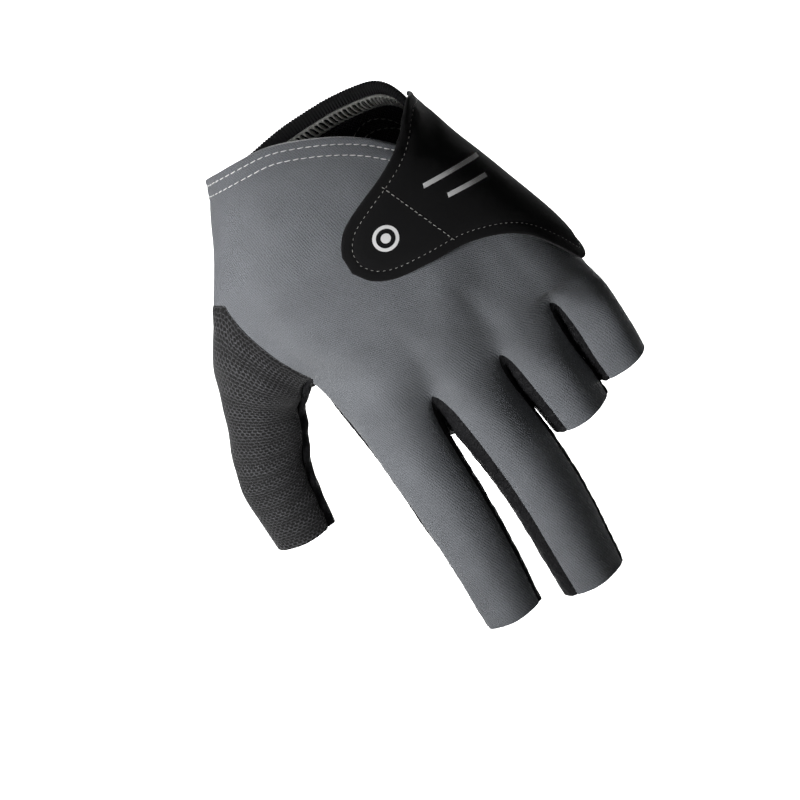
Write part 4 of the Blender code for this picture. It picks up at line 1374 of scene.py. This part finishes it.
class GLOVE_OT_back(bpy.types.Operator):
    """Grey knit back with its folded and twice stitched hem."""

    bl_idname = "glove.back"
    bl_label = "Grey back"

    def execute(self, context):
        sizes, colours = looks_of(context)
        cut = Cut(FORM, BACK)
        rim_places, rim_normals = cut.wrist_line()
        edge = nearest(cut.points, resampled(rim_places, 0.3 * MM))[0]
        hem = smooth_step((HEM_WIDTH - edge) / (0.8 * MM))
        outer = seam_height(cut, sizes, pucker=0.10, seed=3, dip=0.25)
        outer += 0.35 * MM * hem
        for row in (2.1 * MM, 5.4 * MM):
            outer -= 0.22 * MM * bell(edge - row, 0.55 * MM)
        outer -= 0.35 * MM * smooth_step(1 - edge / (0.6 * MM))
        back = smooth_step(-cut.normals[:, 1] * 1.6)
        outer += fold_height(cut.points, BACK_FOLDS) * back
        outer += 0.10 * MM * ripple(cut.points, 15 * MM, 5)
        inner = -CLOTH - 0.6 * MM * hem
        inner += 0.4 * MM * smooth_step(1 - edge / (0.6 * MM))
        obj = layered("back_knit", cut, outer, inner + np.minimum(outer, 0.0))
        show(obj, stretch_knit(colours.knit, sizes), ["back_panel"])
        declare_cloth(obj, cut.weave)
        self.add_hem_stitches(obj, rim_places, rim_normals, sizes, colours)
        return {"FINISHED"}

    def add_hem_stitches(self, cloth, places, normals, sizes, colours):
        random = np.random.default_rng(SEED)
        threads = Threads()
        tree = tree_of(cloth)
        line = resampled(places, 0.6 * MM)
        along = lengths_along(places)
        spread = np.linspace(0, along[-1], len(line))
        line_normals = np.stack([np.interp(spread, along, normals[:, a]) for a in range(3)], axis=1)
        for distance, start in ((2.1 * MM, 0.6 * MM), (5.4 * MM, 1.8 * MM)):
            row, row_normals = inset_line(line, line_normals, distance, tree)
            stitch_row(
                threads,
                row,
                row_normals,
                sizes.stitch_length,
                sizes.stitch_gap,
                sizes.thread_radius,
                random,
                start=start,
            )
        obj = threads.build("hem_stitches")
        show(obj, twisted_thread("white_hem_thread", colours.white))


class GLOVE_OT_palm(bpy.types.Operator):
    """Black leather palm, the mesh of its heel, and the pad."""

    bl_idname = "glove.palm"
    bl_label = "Palm"

    def execute(self, context):
        sizes, colours = looks_of(context)
        cut = Cut(FORM, PALM)
        outer = seam_height(cut, sizes, pucker=0.10, seed=11) + 0.16 * MM * ripple(cut.points, 17 * MM, 12)
        obj = layered("palm_leather", cut, outer, np.minimum(outer, 0.0) - CLOTH)
        show(obj, soft_leather("black_palm_leather", colours.leather), ["palm_panel"])
        declare_cloth(obj, cut.weave)
        mesh = Cut(FORM, PALM_MESH)
        outer = seam_height(mesh, sizes, pucker=0.15, seed=13)
        obj = layered("palm_mesh_knit", mesh, outer, np.minimum(outer, 0.0) - CLOTH)
        # 2.4 sets how light the heel mesh's threads and their painted highlight get
        material = open_mesh("black_palm_mesh", colours.mesh, sizes, 0.75, 2.4, True)
        show(obj, material, ["palm_mesh"])
        declare_cloth(obj, mesh.weave)
        self.add_pad(colours)
        return {"FINISHED"}

    def add_pad(self, colours):
        count = 61
        grid = pad_grid(count, 1.0)

        def rise(a, b):
            edge = min(a, b, 1 - a, 1 - b)
            return float(1.1 * MM * smooth_step(edge / 0.28) - 0.25 * MM * bell(edge - 0.055, 0.025))

        flat = LAYER_GAP + PAD_THICKNESS * 0.6
        obj = sheet_object("heel_cushion", grid, lambda a, b: 0.2 * MM, lambda a, b: flat + rise(a, b))
        material = soft_leather("black_pad_leather", colours.leather)
        show(obj, material, ["heel_pad"])
        random = np.random.default_rng(SEED + 1)
        threads = Threads()
        for share in (1.07, 0.88):
            ring, normals = pad_ring(share)
            inside = ring - normals * (CLOTH + 0.16 * MM)
            stitch_row(threads, inside, -normals, 1.5 * MM, 0.7 * MM, 0.13 * MM, random)
        obj = threads.build("pad_stitches")
        show(obj, twisted_thread("grey_pad_thread", colours.grey))


def pad_place(across, along):
    round_across = across * math.sqrt(1 - PAD_ROUNDING * along**2 / 2)
    round_along = along * math.sqrt(1 - PAD_ROUNDING * across**2 / 2)
    x = (PAD_MIDDLE[0] + round_across * PAD_HALF[0]) * HAND_BREADTH
    z = -(PAD_MIDDLE[1] + round_along * PAD_HALF[1]) * PALM_LENGTH
    return FORM.landed(Vector((x, PAD_GUESS_Y * HAND_DEPTH, z)))


def pad_grid(count, scale):
    grid = []
    for a in range(count):
        across = scale * (2 * a / (count - 1) - 1)
        grid.append([pad_place(across, scale * (2 * b / (count - 1) - 1)) for b in range(count)])
    return grid


def pad_ring(share):
    """A closed line round the pad, with its normals."""
    places = []
    normals = []
    for step in range(161):
        angle = 2 * math.pi * step / 160
        reach = share / max(abs(math.cos(angle)), abs(math.sin(angle)))
        place, normal = pad_place(reach * math.cos(angle), reach * math.sin(angle))
        places.append(place[:])
        normals.append(normal[:])
    return np.array(places), np.array(normals)


def sheet_object(name, grid, low, high):
    """A closed sheet over a grid of landed places, between two heights that depend on the
    place's shares of the grid."""
    count_a, count_b = len(grid), len(grid[0])
    places = np.array([[place[:] for place, _ in line] for line in grid])
    normals = np.array([[normal[:] for _, normal in line] for line in grid])
    tops = np.empty((count_a, count_b))
    bottoms = np.empty((count_a, count_b))
    for a in range(count_a):
        for b in range(count_b):
            shares = (a / (count_a - 1), b / (count_b - 1))
            tops[a, b] = high(*shares)
            bottoms[a, b] = low(*shares)
    return plate_object(name, places, normals, tops, bottoms)


def plate_object(name, places, normals, tops, bottoms):
    count_a, count_b = tops.shape
    upper = places + normals * tops[..., None]
    lower = places + normals * bottoms[..., None]
    number = np.arange(count_a * count_b).reshape(count_a, count_b)
    size = count_a * count_b
    faces = np.stack([number[:-1, :-1], number[1:, :-1], number[1:, 1:], number[:-1, 1:]], axis=-1)
    faces = faces.reshape(-1, 4)
    rim = np.concatenate([number[0, :-1], number[:-1, -1], number[-1, :0:-1], number[:0:-1, 0]])
    after = np.roll(rim, -1)
    walls = np.stack([rim, after, after + size, rim + size], axis=1)
    quads = np.concatenate([faces, faces[:, ::-1] + size, walls])
    steps_a = np.linalg.norm(np.diff(places, axis=0), axis=2)
    steps_b = np.linalg.norm(np.diff(places, axis=1), axis=2)
    along = np.concatenate([np.zeros((1, count_b)), np.cumsum(steps_a, axis=0)])
    across = np.concatenate([np.zeros((count_a, 1)), np.cumsum(steps_b, axis=1)], axis=1)
    weave = np.stack([across, along], axis=-1).reshape(-1, 2)
    points = np.concatenate([upper.reshape(-1, 3), lower.reshape(-1, 3)])
    return quad_object(name, points, quads, np.tile(weave, (2, 1))[quads])


class GLOVE_OT_thumb(bpy.types.Operator):
    """Thumb sheath of black mesh outside and black leather inside."""

    bl_idname = "glove.thumb"
    bl_label = "Thumb"

    def execute(self, context):
        sizes, colours = looks_of(context)
        mesh = Cut(FORM, THUMB_MESH)
        outer = seam_height(mesh, sizes, pucker=0.35, period=8.5 * MM, seed=21)
        outer += 0.22 * MM * ripple(mesh.points, 13 * MM, 22)
        obj = layered("thumb_mesh_knit", mesh, outer, np.minimum(outer, 0.0) - CLOTH)
        # the default gain sets how light the thumb mesh's threads and their painted highlight get
        material = open_mesh("black_thumb_mesh", colours.mesh, sizes)
        show(obj, material, ["thumb_mesh_panel"])
        declare_cloth(obj, mesh.weave)
        leather = Cut(FORM, THUMB_LEATHER)
        outer = seam_height(leather, sizes, pucker=0.9, period=8.5 * MM, seed=23)
        outer += 0.9 * MM * bell(leather.seam_distance - 2.6 * MM, 2.4 * MM)
        outer += 0.25 * MM * ripple(leather.points, 9 * MM, 24)
        obj = layered("thumb_leather_side", leather, outer, np.minimum(outer, 0.0) - CLOTH)
        material = soft_leather("black_thumb_leather", colours.leather)
        show(obj, material, ["thumb_leather_panel"])
        declare_cloth(obj, leather.weave)
        return {"FINISHED"}


class GLOVE_OT_strips(bpy.types.Operator):
    """Crinkled leather strips between the fingers."""

    bl_idname = "glove.strips"
    bl_label = "Side strips"

    def execute(self, context):
        sizes, colours = looks_of(context)
        for number, strip in enumerate(STRIPS):
            names = (FINGERS[number]["name"], FINGERS[number + 1]["name"])
            node = "side_strip_%s_%s" % names
            cut = Cut(FORM, strip)
            outer = seam_height(cut, sizes, roll=1.4 * MM, pucker=0.28, period=3.3 * MM, seed=31 + number)
            outer += 0.12 * MM * ripple(cut.points, 4 * MM, 41 + number)
            obj = layered("strip_%s_%s" % names, cut, outer, np.minimum(outer, 0.0) - CLOTH)
            material = soft_leather("%s_leather" % node, colours.leather, 0.62, 0.75, 0.14)
            show(obj, material, [node])
            declare_cloth(obj, cut.weave)
        return {"FINISHED"}


class GLOVE_OT_wrist(bpy.types.Operator):
    """Ribbed elastic round the palm side of the wrist, and the whipped seam inside it."""

    bl_idname = "glove.wrist"
    bl_label = "Wrist elastic"

    def execute(self, context):
        sizes, colours = looks_of(context)
        cut = Cut(FORM, BINDING)
        places, normals = cut.wrist_line()
        self.add_elastic(places, normals, sizes, colours)
        self.add_overlock(places, normals, colours)
        return {"FINISHED"}

    def add_elastic(self, places, normals, sizes, colours):
        line, line_normals, down, along = wrist_frame(places, normals, 0.16 * MM)
        section = []
        for share in np.linspace(0, 1, 9):
            section.append((0.55 * MM, BINDING_WIDTH * (1 - share) + 0.7 * MM * share))
        for turn in np.linspace(0, math.pi, 9)[1:-1]:
            section.append((-0.60 * MM + 1.15 * MM * math.cos(turn), 0.7 * MM - 1.15 * MM * math.sin(turn)))
        for share in np.linspace(0, 1, 9):
            section.append((-1.75 * MM, BINDING_WIDTH * share + 0.7 * MM * (1 - share)))
        section = np.array(section)
        middle = np.array([-0.6 * MM, 2.0 * MM])
        rings = []
        weave = []
        across = lengths_along(np.concatenate([section, np.zeros((len(section), 1))], axis=1))
        for place, normal, below, length in zip(line, line_normals, down, along):
            rib = abs(math.sin(math.pi * length / sizes.rib_pitch)) ** 0.7
            swell = 1 + 0.16 * (rib - 0.6)
            shape = middle + (section - middle) * swell
            rings.append(place + shape[:, :1] * normal + shape[:, 1:] * below)
            weave.append(np.stack([across, np.full(len(section), length)], axis=1))
        obj = ring_object("wrist_elastic", np.array(rings), np.array(weave))
        show(obj, ribbed_elastic(colours.elastic), ["wrist_binding"])
        declare_cloth(obj, np.concatenate(weave))

    def add_overlock(self, places, normals, colours):
        line, line_normals, down, along = wrist_frame(places, normals, 0.3 * MM)
        threads = Threads()
        random = np.random.default_rng(SEED + 2)
        depth = -CLOTH - 0.55 * MM
        top, bottom = 4.3 * MM, 8.0 * MM
        for level, size in ((top, 0.42 * MM), (bottom, 0.30 * MM)):
            wave = 0.16 * MM * np.sin(2 * math.pi * along / (1.1 * MM))
            cord = line + down * (level + wave[:, None]) + line_normals * depth
            threads.add(smoothed(cord, 1), size * (1 + 0.15 * np.sin(2 * math.pi * along / (1.1 * MM))))
        pitch = 1.75 * MM
        reach = pitch
        while reach < along[-1] - pitch:
            ring = []
            sway = random.uniform(-0.15, 0.15) * MM
            for turn in np.linspace(0, 2 * math.pi, 15)[:-1]:
                side = 0.95 * MM * math.cos(turn)
                fall = (top + bottom) / 2 + (bottom - top) * 0.52 * math.sin(turn)
                place, normal, below = frame_at(
                    (line, line_normals, down), along, reach + side + 0.45 * (fall - 6.1 * MM) + sway
                )
                lift = 0.35 * MM * math.cos(turn)
                ring.append(place + below * fall + normal * (depth - 0.15 * MM + lift))
            threads.add(ring, 0.40 * MM, closed=True)
            reach += pitch
        obj = threads.build("whipped_seam")
        material = twisted_thread("grey_overlock_thread", colours.grey)
        show(obj, material, ["overlock_seam"])


def frame_at(lists, along, length):
    return [np.array([np.interp(length, along, values[:, a]) for a in range(3)]) for values in lists]


def wrist_frame(places, normals, step):
    """Even places along the wrist edge, with outward normals, the way down the cloth and
    the lengths along the edge."""
    along = lengths_along(places)
    line = smoothed(resampled(places, step), 30)
    spread = np.linspace(0, along[-1], len(line))
    turned_out = np.stack([np.interp(spread, along, normals[:, a]) for a in range(3)], axis=1)
    turned_out = smoothed(turned_out, 30)
    ahead = np.gradient(line, axis=0)
    ahead /= np.linalg.norm(ahead, axis=1)[:, None]
    turned_out -= ahead * (turned_out * ahead).sum(axis=1)[:, None]
    turned_out /= np.linalg.norm(turned_out, axis=1)[:, None]
    down = np.cross(turned_out, ahead)
    down *= -np.sign(down[:, 2].mean())
    return line, turned_out, down, lengths_along(line)


def ring_object(name, rings, weave):
    """A closed bar from a row of closed rings, with its two ends filled."""
    count, sides = rings.shape[:2]
    number = np.arange(count * sides).reshape(count, sides)
    after = np.roll(number, -1, axis=1)
    quads = np.stack([number[:-1], after[:-1], after[1:], number[1:]], axis=-1).reshape(-1, 4)
    points = rings.reshape(-1, 3)
    faces = [tuple(face) for face in quads.tolist()]
    faces.append(tuple(reversed(number[0].tolist())))
    faces.append(tuple(number[-1].tolist()))
    mesh = bpy.data.meshes.new(name)
    mesh.from_pydata(points.tolist(), [], faces)
    loops = read(mesh.loops, "vertex_index", 1, int)[:, 0]
    layer = mesh.uv_layers.new(name="weave")
    layer.data.foreach_set("uv", weave.reshape(-1, 2)[loops].ravel())
    mesh.polygons.foreach_set("use_smooth", np.ones(len(faces), bool))
    mesh.set_sharp_from_angle(angle=math.radians(70))
    obj = bpy.data.objects.new(name, mesh)
    bpy.context.scene.collection.objects.link(obj)
    turn_outwards(mesh)
    return obj


def turn_outwards(mesh):
    """Turns a closed mesh's faces round if they enclose a negative volume."""
    mesh.calc_loop_triangles()
    points = read(mesh.vertices, "co", 3)
    corners = points[read(mesh.loop_triangles, "vertices", 3, int)]
    volume = np.einsum("ij,ij->i", corners[:, 0], np.cross(corners[:, 1], corners[:, 2])).sum()
    if volume < 0:
        mesh.flip_normals()


def spline(values, position):
    """A value on the smooth line through evenly numbered values."""
    last = len(values) - 1
    start = min(int(position), last - 1)
    part = position - start
    p0 = values[max(start - 1, 0)]
    p1 = values[start]
    p2 = values[start + 1]
    p3 = values[min(start + 2, last)]
    square = (2 * p0 - 5 * p1 + 4 * p2 - p3) * part**2
    return 0.5 * (2 * p1 + (p2 - p0) * part + square + (3 * p1 - p0 - 3 * p2 + p3) * part**3)


def strap_edges(position):
    """The strap's upper and lower edge near the hand form at one of its sections."""
    scale = (HAND_BREADTH, HAND_DEPTH, PALM_LENGTH) * 2
    ends = []
    for column in range(6):
        values = [row[column] for row in STRAP_ROWS]
        ends.append(spline(values, position) * scale[column])
    return Vector(ends[:3]), Vector(ends[3:])


def strap_lift(position):
    """How far the strap's underside stands above the hand form: more over the hook patch."""
    sewn = BINDING_PROUD + LAYER_GAP
    over_patch = HOOK_THICKNESS + 2 * LAYER_GAP
    share = min(max((position - 2.0) / (HOOK_FROM - 3.0), 0.0), 1.0)
    return sewn + (over_patch - sewn) * share * share * (3 - 2 * share)


class GLOVE_OT_strap(bpy.types.Operator):
    """Wide black strap with its stitching, its print and the hook tape under its tab."""

    bl_idname = "glove.strap"
    bl_label = "Strap"

    def execute(self, context):
        _, colours = looks_of(context)
        self.last = len(STRAP_ROWS) - 1
        obj = self.add_flap(colours)
        self.tree = tree_of(obj)
        self.add_stitches(colours)
        self.add_print(colours)
        self.add_hook_tape(colours)
        return {"FINISHED"}

    def positions(self):
        """Strap sections close together at both ends, so that the ends can be rounded."""
        middle = np.linspace(0, self.last, 181)
        near = np.array([0.0, 0.012, 0.03, 0.055])
        far = self.last - np.array([0.06, 0.035, 0.015, 0.0])
        inside = middle[(middle > 0.08) & (middle < self.last - 0.09)]
        return np.concatenate([near, inside, far])

    def add_flap(self, colours):
        places = []
        normals = []
        shares_from_edge = (0.0, 0.15, 0.4, 0.8)
        for position in self.positions():
            upper, lower = strap_edges(position)
            upper = upper.lerp(lower, 0.12 * max(0.0, 1 - position / 0.9) ** 2)
            width = (lower - upper).length
            near = [min(value * MM / width, 0.2) for value in shares_from_edge]
            inside = np.linspace(near[-1], 1 - near[-1], 75)[1:-1].tolist()
            shares = near + inside + [1 - value for value in reversed(near)]
            landed = [FORM.landed(upper.lerp(lower, share)) for share in shares]
            places.append([place[:] for place, _ in landed])
            normals.append([normal[:] for _, normal in landed])
        places = np.array(places)
        normals = np.array(normals)
        for _ in range(6):
            inner = places[1:-1, 1:-1]
            around = (places[:-2, 1:-1] + places[2:, 1:-1] + places[1:-1, :-2] + places[1:-1, 2:]) / 4
            places[1:-1, 1:-1] = inner * 0.5 + around * 0.5
            mean = (normals[:-2, 1:-1] + normals[2:, 1:-1] + normals[1:-1, :-2] + normals[1:-1, 2:]) / 4
            normals[1:-1, 1:-1] = normals[1:-1, 1:-1] * 0.4 + mean * 0.6
        normals /= np.linalg.norm(normals, axis=2)[..., None]
        border = np.concatenate([places[0], places[-1], places[:, 0], places[:, -1]])
        edge = nearest(places.reshape(-1, 3), border)[0].reshape(places.shape[:2])
        low = np.array([strap_lift(position) for position in self.positions()])[:, None]
        half = STRAP_THICKNESS / 2
        round_edge = np.sqrt(np.clip(1 - (1 - np.clip(edge / (0.8 * MM), 0, 1)) ** 2, 0.06, 1))
        groove = 0.28 * MM * bell(edge - 3.3 * MM, 0.6 * MM)
        fill = 0.35 * MM * smooth_step((edge - 3.6 * MM) / (3 * MM))
        tops = low + half + half * round_edge - groove + fill
        bottoms = low + half - half * round_edge
        obj = plate_object("strap_flap", places, normals, tops, bottoms)
        turn_outwards(obj.data)
        show(obj, brushed_cloth(colours.strap), ["strap"])
        weave = read(obj.data.uv_layers["weave"].data, "uv", 2)
        declare_cloth(obj, weave)
        self.places = places
        self.normals = normals
        return obj

    def on_strap(self, position, share):
        upper, lower = strap_edges(position)
        place, normal = FORM.landed(upper.lerp(lower, share))
        return np.array(place), np.array(normal)

    def add_stitches(self, colours):
        random = np.random.default_rng(SEED + 3)
        threads = Threads()
        places = np.concatenate([self.places[1:, 0], self.places[-1, 1:], self.places[-2:0:-1, -1]])
        normals = np.concatenate([self.normals[1:, 0], self.normals[-1, 1:], self.normals[-2:0:-1, -1]])
        along = lengths_along(places)
        line = resampled(places, 0.5 * MM)
        spread = np.linspace(0, along[-1], len(line))
        line_normals = np.stack([np.interp(spread, along, normals[:, a]) for a in range(3)], axis=1)
        ahead = np.gradient(smoothed(line, 8), axis=0)
        ahead /= np.linalg.norm(ahead, axis=1)[:, None]
        inward = np.cross(ahead, line_normals)
        inward /= np.linalg.norm(inward, axis=1)[:, None]
        middle = self.on_strap(6, 0.5)[0]
        if (inward * (middle - line)).sum(axis=1).mean() < 0:
            inward = -inward
        moved = smoothed(line + inward * 3.3 * MM, 12)
        row = laid_on(self.tree, moved, line_normals, 8 * MM)
        stitch_row(threads, row, line_normals, 1.0 * MM, 0.9 * MM, 0.10 * MM, random, sink=0.4)
        cross = [self.on_strap(7.1, share) for share in np.linspace(0.06, 0.95, 60)]
        row = np.array([place for place, _ in cross])
        row_normals = np.array([normal for _, normal in cross])
        row = laid_on(self.tree, row, row_normals, 8 * MM)
        stitch_row(threads, row, row_normals, 1.3 * MM, 0.6 * MM, 0.16 * MM, random, sink=0.6)
        obj = threads.build("strap_stitches")
        show(obj, twisted_thread("grey_strap_thread", colours.grey))

    def add_print(self, colours):
        """A plain ring with a disc on the tab, and two plain bars beside it."""
        material = printed_white(colours.white)
        centre, normal = self.on_strap(8.3, 0.46)
        ring = self.round_print(centre, normal, 3.1 * MM, 4.2 * MM, 72)
        disc = self.round_print(centre, normal, 0.0, 1.6 * MM, 40)
        for name, obj in (("tab_ring", ring), ("tab_disc", disc)):
            obj.name = name
            show(obj, material)
        for name, start, end in (
            ("strap_bar_long", (6.55, 0.34), (2.05, 0.36)),
            ("strap_bar_short", (6.15, 0.52), (3.30, 0.46)),
        ):
            obj = self.bar_print(name, start, end, 1.5 * MM)
            show(obj, material)

    def laid_plate(self, places, normal, closed, name):
        """A print from rows of places across the strap, laid on it and a little proud."""
        count_a, count_b = places.shape[:2]
        flat = places.reshape(-1, 3)
        normals = np.tile(normal, (len(flat), 1))
        laid = laid_on(self.tree, flat, normals, 20 * MM)
        upper = laid + normals * 0.10 * MM
        lower = laid - normals * 0.05 * MM
        number = np.arange(count_a * count_b).reshape(count_a, count_b)
        if closed:
            number = np.concatenate([number, number[:1]])
        faces = np.stack([number[:-1, :-1], number[1:, :-1], number[1:, 1:], number[:-1, 1:]], axis=-1)
        faces = faces.reshape(-1, 4)
        size = count_a * count_b
        if closed:
            rims = [(number[:-1, 0], number[1:, 0]), (number[1:, -1], number[:-1, -1])]
        else:
            rim = np.concatenate([number[0, :-1], number[:-1, -1], number[-1, :0:-1], number[:0:-1, 0]])
            rims = [(rim, np.roll(rim, -1))]
        walls = [np.stack([a, b, b + size, a + size], axis=1) for a, b in rims]
        quads = np.concatenate([faces, faces[:, ::-1] + size, *walls])
        obj = quad_object(name, np.concatenate([upper, lower]), quads)
        turn_outwards(obj.data)
        return obj

    def round_print(self, centre, normal, inner, outer, count):
        side = np.cross(normal, (0.0, 0.0, 1.0))
        side /= np.linalg.norm(side)
        up = np.cross(normal, side)
        radii = np.linspace(max(inner, 0.02 * MM), outer, 5)
        places = np.empty((count, len(radii), 3))
        for turn in range(count):
            angle = 2 * math.pi * turn / count
            places[turn] = centre + radii[:, None] * (side * math.cos(angle) + up * math.sin(angle))
        return self.laid_plate(places, normal, True, "print")

    def bar_print(self, name, start, end, breadth):
        first, normal = self.on_strap(*start)
        last, last_normal = self.on_strap(*end)
        mean = normal + last_normal
        mean /= np.linalg.norm(mean)
        ahead = last - first
        side = np.cross(mean, ahead)
        side /= np.linalg.norm(side)
        places = np.empty((60, 4, 3))
        for a, share in enumerate(np.linspace(0, 1, 60)):
            for b, across in enumerate(np.linspace(-0.5, 0.5, 4)):
                places[a, b] = first + ahead * share + side * across * breadth
        return self.laid_plate(places, mean, False, name)

    def add_hook_tape(self, colours):
        last = self.last - HOOK_END_INSET
        count = 25
        grid = []
        for a in range(count):
            upper, lower = strap_edges(HOOK_FROM + (last - HOOK_FROM) * a / (count - 1))
            line = []
            for b in range(count):
                share = HOOK_SIDE_INSET + (1 - 2 * HOOK_SIDE_INSET) * b / (count - 1)
                line.append(FORM.landed(upper.lerp(lower, share)))
            grid.append(line)
        low = LAYER_GAP + 0.45 * MM
        obj = sheet_object("hook_tape", grid, lambda a, b: low, lambda a, b: LAYER_GAP + HOOK_THICKNESS)
        material = ribbed_elastic(colours.strap)
        show(obj, material, ["hook_patch"])
        declare_cloth(obj, read(obj.data.uv_layers["weave"].data, "uv", 2))
        hooks = Threads()
        for line in grid[1:-1:2]:
            for place, normal in line[1:-1:2]:
                place = np.array(place)
                normal = np.array(normal)
                heights = (0.62 * MM, 0.35 * MM, 0.12 * MM)
                path = [place + normal * (LAYER_GAP - 0.15 * MM + height) for height in heights]
                hooks.add(path, (0.10 * MM, 0.07 * MM, 0.13 * MM), sides=5)
        obj = hooks.build("tape_hooks")
        show(obj, twisted_thread("black_hooks", colours.strap))


# The camera's view: degrees above level, degrees that the picture is rolled, its distance,
# the width that it shows at the glove, and the point that it looks at
VIEW_ELEVATION = 20.0
VIEW_ROLL = 28.7
VIEW_DISTANCE = 9.0
VIEW_WIDTH = 0.2424
VIEW_CENTRE = (-0.0139, 0.0, -0.0875)
FLOOR_HEIGHT = -0.45
WORLD_STRENGTH = 0.035

# Each light's name, place, the point that it faces, its size, its power and how wide it
# spreads, in degrees
LIGHTS = (
    ("key", (-0.42, -0.38, 0.12), (-0.045, 0.0, -0.070), 0.16, 0.205, 32.0),
    ("fill", (-0.3, -1.6, 0.2), (0.0, 0.0, -0.08), 1.0, 0.6, 180.0),
    ("palm_light", (0.35, 1.2, 0.1), (0.0, 0.0, -0.08), 0.5, 1.2, 70.0),
    ("floor_light", (0.0, 1.15, 0.35), (0.0, 1.1501, -0.45), 1.4, 17.0, 70.0),
)


class GLOVE_OT_stage(bpy.types.Operator):
    """Pale floor, soft lights and the camera."""

    bl_idname = "glove.stage"
    bl_label = "Stage"

    def execute(self, context):
        _, colours = looks_of(context)
        scene = context.scene
        self.add_floor(colours)
        self.add_camera(scene)
        for light in LIGHTS:
            self.add_light(scene, *light)
        world = bpy.data.worlds.new("studio")
        world.use_nodes = True
        background = world.node_tree.nodes["Background"]
        background.inputs["Color"].default_value = (1.0, 1.0, 1.0, 1.0)
        background.inputs["Strength"].default_value = WORLD_STRENGTH
        scene.world = world
        scene.view_settings.view_transform = "Standard"
        return {"FINISHED"}

    def add_floor(self, colours):
        size = 12.0
        points = []
        quads = []
        count = 24
        for a in range(count + 1):
            for b in range(count + 1):
                points.append((size * (a / count - 0.5), size * (b / count - 0.5), FLOOR_HEIGHT))
        for a in range(count):
            for b in range(count):
                first = a * (count + 1) + b
                quads.append((first, first + count + 1, first + count + 2, first + 1))
        floor = quad_object("floor", points, quads)
        floor.data.materials.append(pale_floor(colours.floor))

    def add_camera(self, scene):
        elevation = math.radians(VIEW_ELEVATION)
        ahead = Vector((0.0, math.cos(elevation), -math.sin(elevation)))
        right = Vector((1.0, 0.0, 0.0))
        up = right.cross(ahead)
        roll = math.radians(VIEW_ROLL)
        picture_right = right * math.cos(roll) - up * math.sin(roll)
        picture_up = right * math.sin(roll) + up * math.cos(roll)
        turn = Matrix((picture_right, picture_up, -ahead)).transposed()
        data = bpy.data.cameras.new("camera")
        data.sensor_width = 36.0
        data.lens = 36.0 * VIEW_DISTANCE / VIEW_WIDTH
        data.clip_end = 100.0
        camera = bpy.data.objects.new("camera", data)
        camera.matrix_world = Matrix.Translation(Vector(VIEW_CENTRE) - ahead * VIEW_DISTANCE) @ turn.to_4x4()
        scene.collection.objects.link(camera)
        scene.camera = camera

    def add_light(self, scene, name, place, target, size, power, spread):
        data = bpy.data.lights.new(name, "AREA")
        data.shape = "SQUARE"
        data.size = size
        data.energy = power
        data.spread = math.radians(spread)
        light = bpy.data.objects.new(name, data)
        light.location = place
        light.rotation_euler = (Vector(target) - Vector(place)).to_track_quat("-Z", "Y").to_euler()
        scene.collection.objects.link(light)


class GLOVE_PT_panel(bpy.types.Panel):
    """Lists the glove's operators and its sizes and colours."""

    bl_idname = "GLOVE_PT_panel"
    bl_label = "Billiard glove"
    bl_space_type = "VIEW_3D"
    bl_region_type = "UI"
    bl_category = "Glove"

    def draw(self, context):
        layout = self.layout
        for operator in OPERATORS:
            layout.operator(operator.bl_idname)
        for group in looks_of(context):
            box = layout.box()
            for name in group.__annotations__:
                box.prop(group, name)


OPERATORS = (
    GLOVE_OT_back,
    GLOVE_OT_palm,
    GLOVE_OT_thumb,
    GLOVE_OT_strips,
    GLOVE_OT_wrist,
    GLOVE_OT_strap,
    GLOVE_OT_stage,
)
CLASSES = (GloveSizes, GloveColours, *OPERATORS, GLOVE_PT_panel)
FORM = Form()


def register():
    for entry in CLASSES:
        bpy.utils.register_class(entry)
    bpy.types.Scene.glove_sizes = bpy.props.PointerProperty(type=GloveSizes)
    bpy.types.Scene.glove_colours = bpy.props.PointerProperty(type=GloveColours)


def unregister():
    del bpy.types.Scene.glove_colours
    del bpy.types.Scene.glove_sizes
    for entry in reversed(CLASSES):
        bpy.utils.unregister_class(entry)


def main():
    register()
    bpy.ops.glove.back()
    bpy.ops.glove.palm()
    bpy.ops.glove.thumb()
    bpy.ops.glove.strips()
    bpy.ops.glove.wrist()
    bpy.ops.glove.strap()
    bpy.ops.glove.stage()


if __name__ == "__main__":
    main()
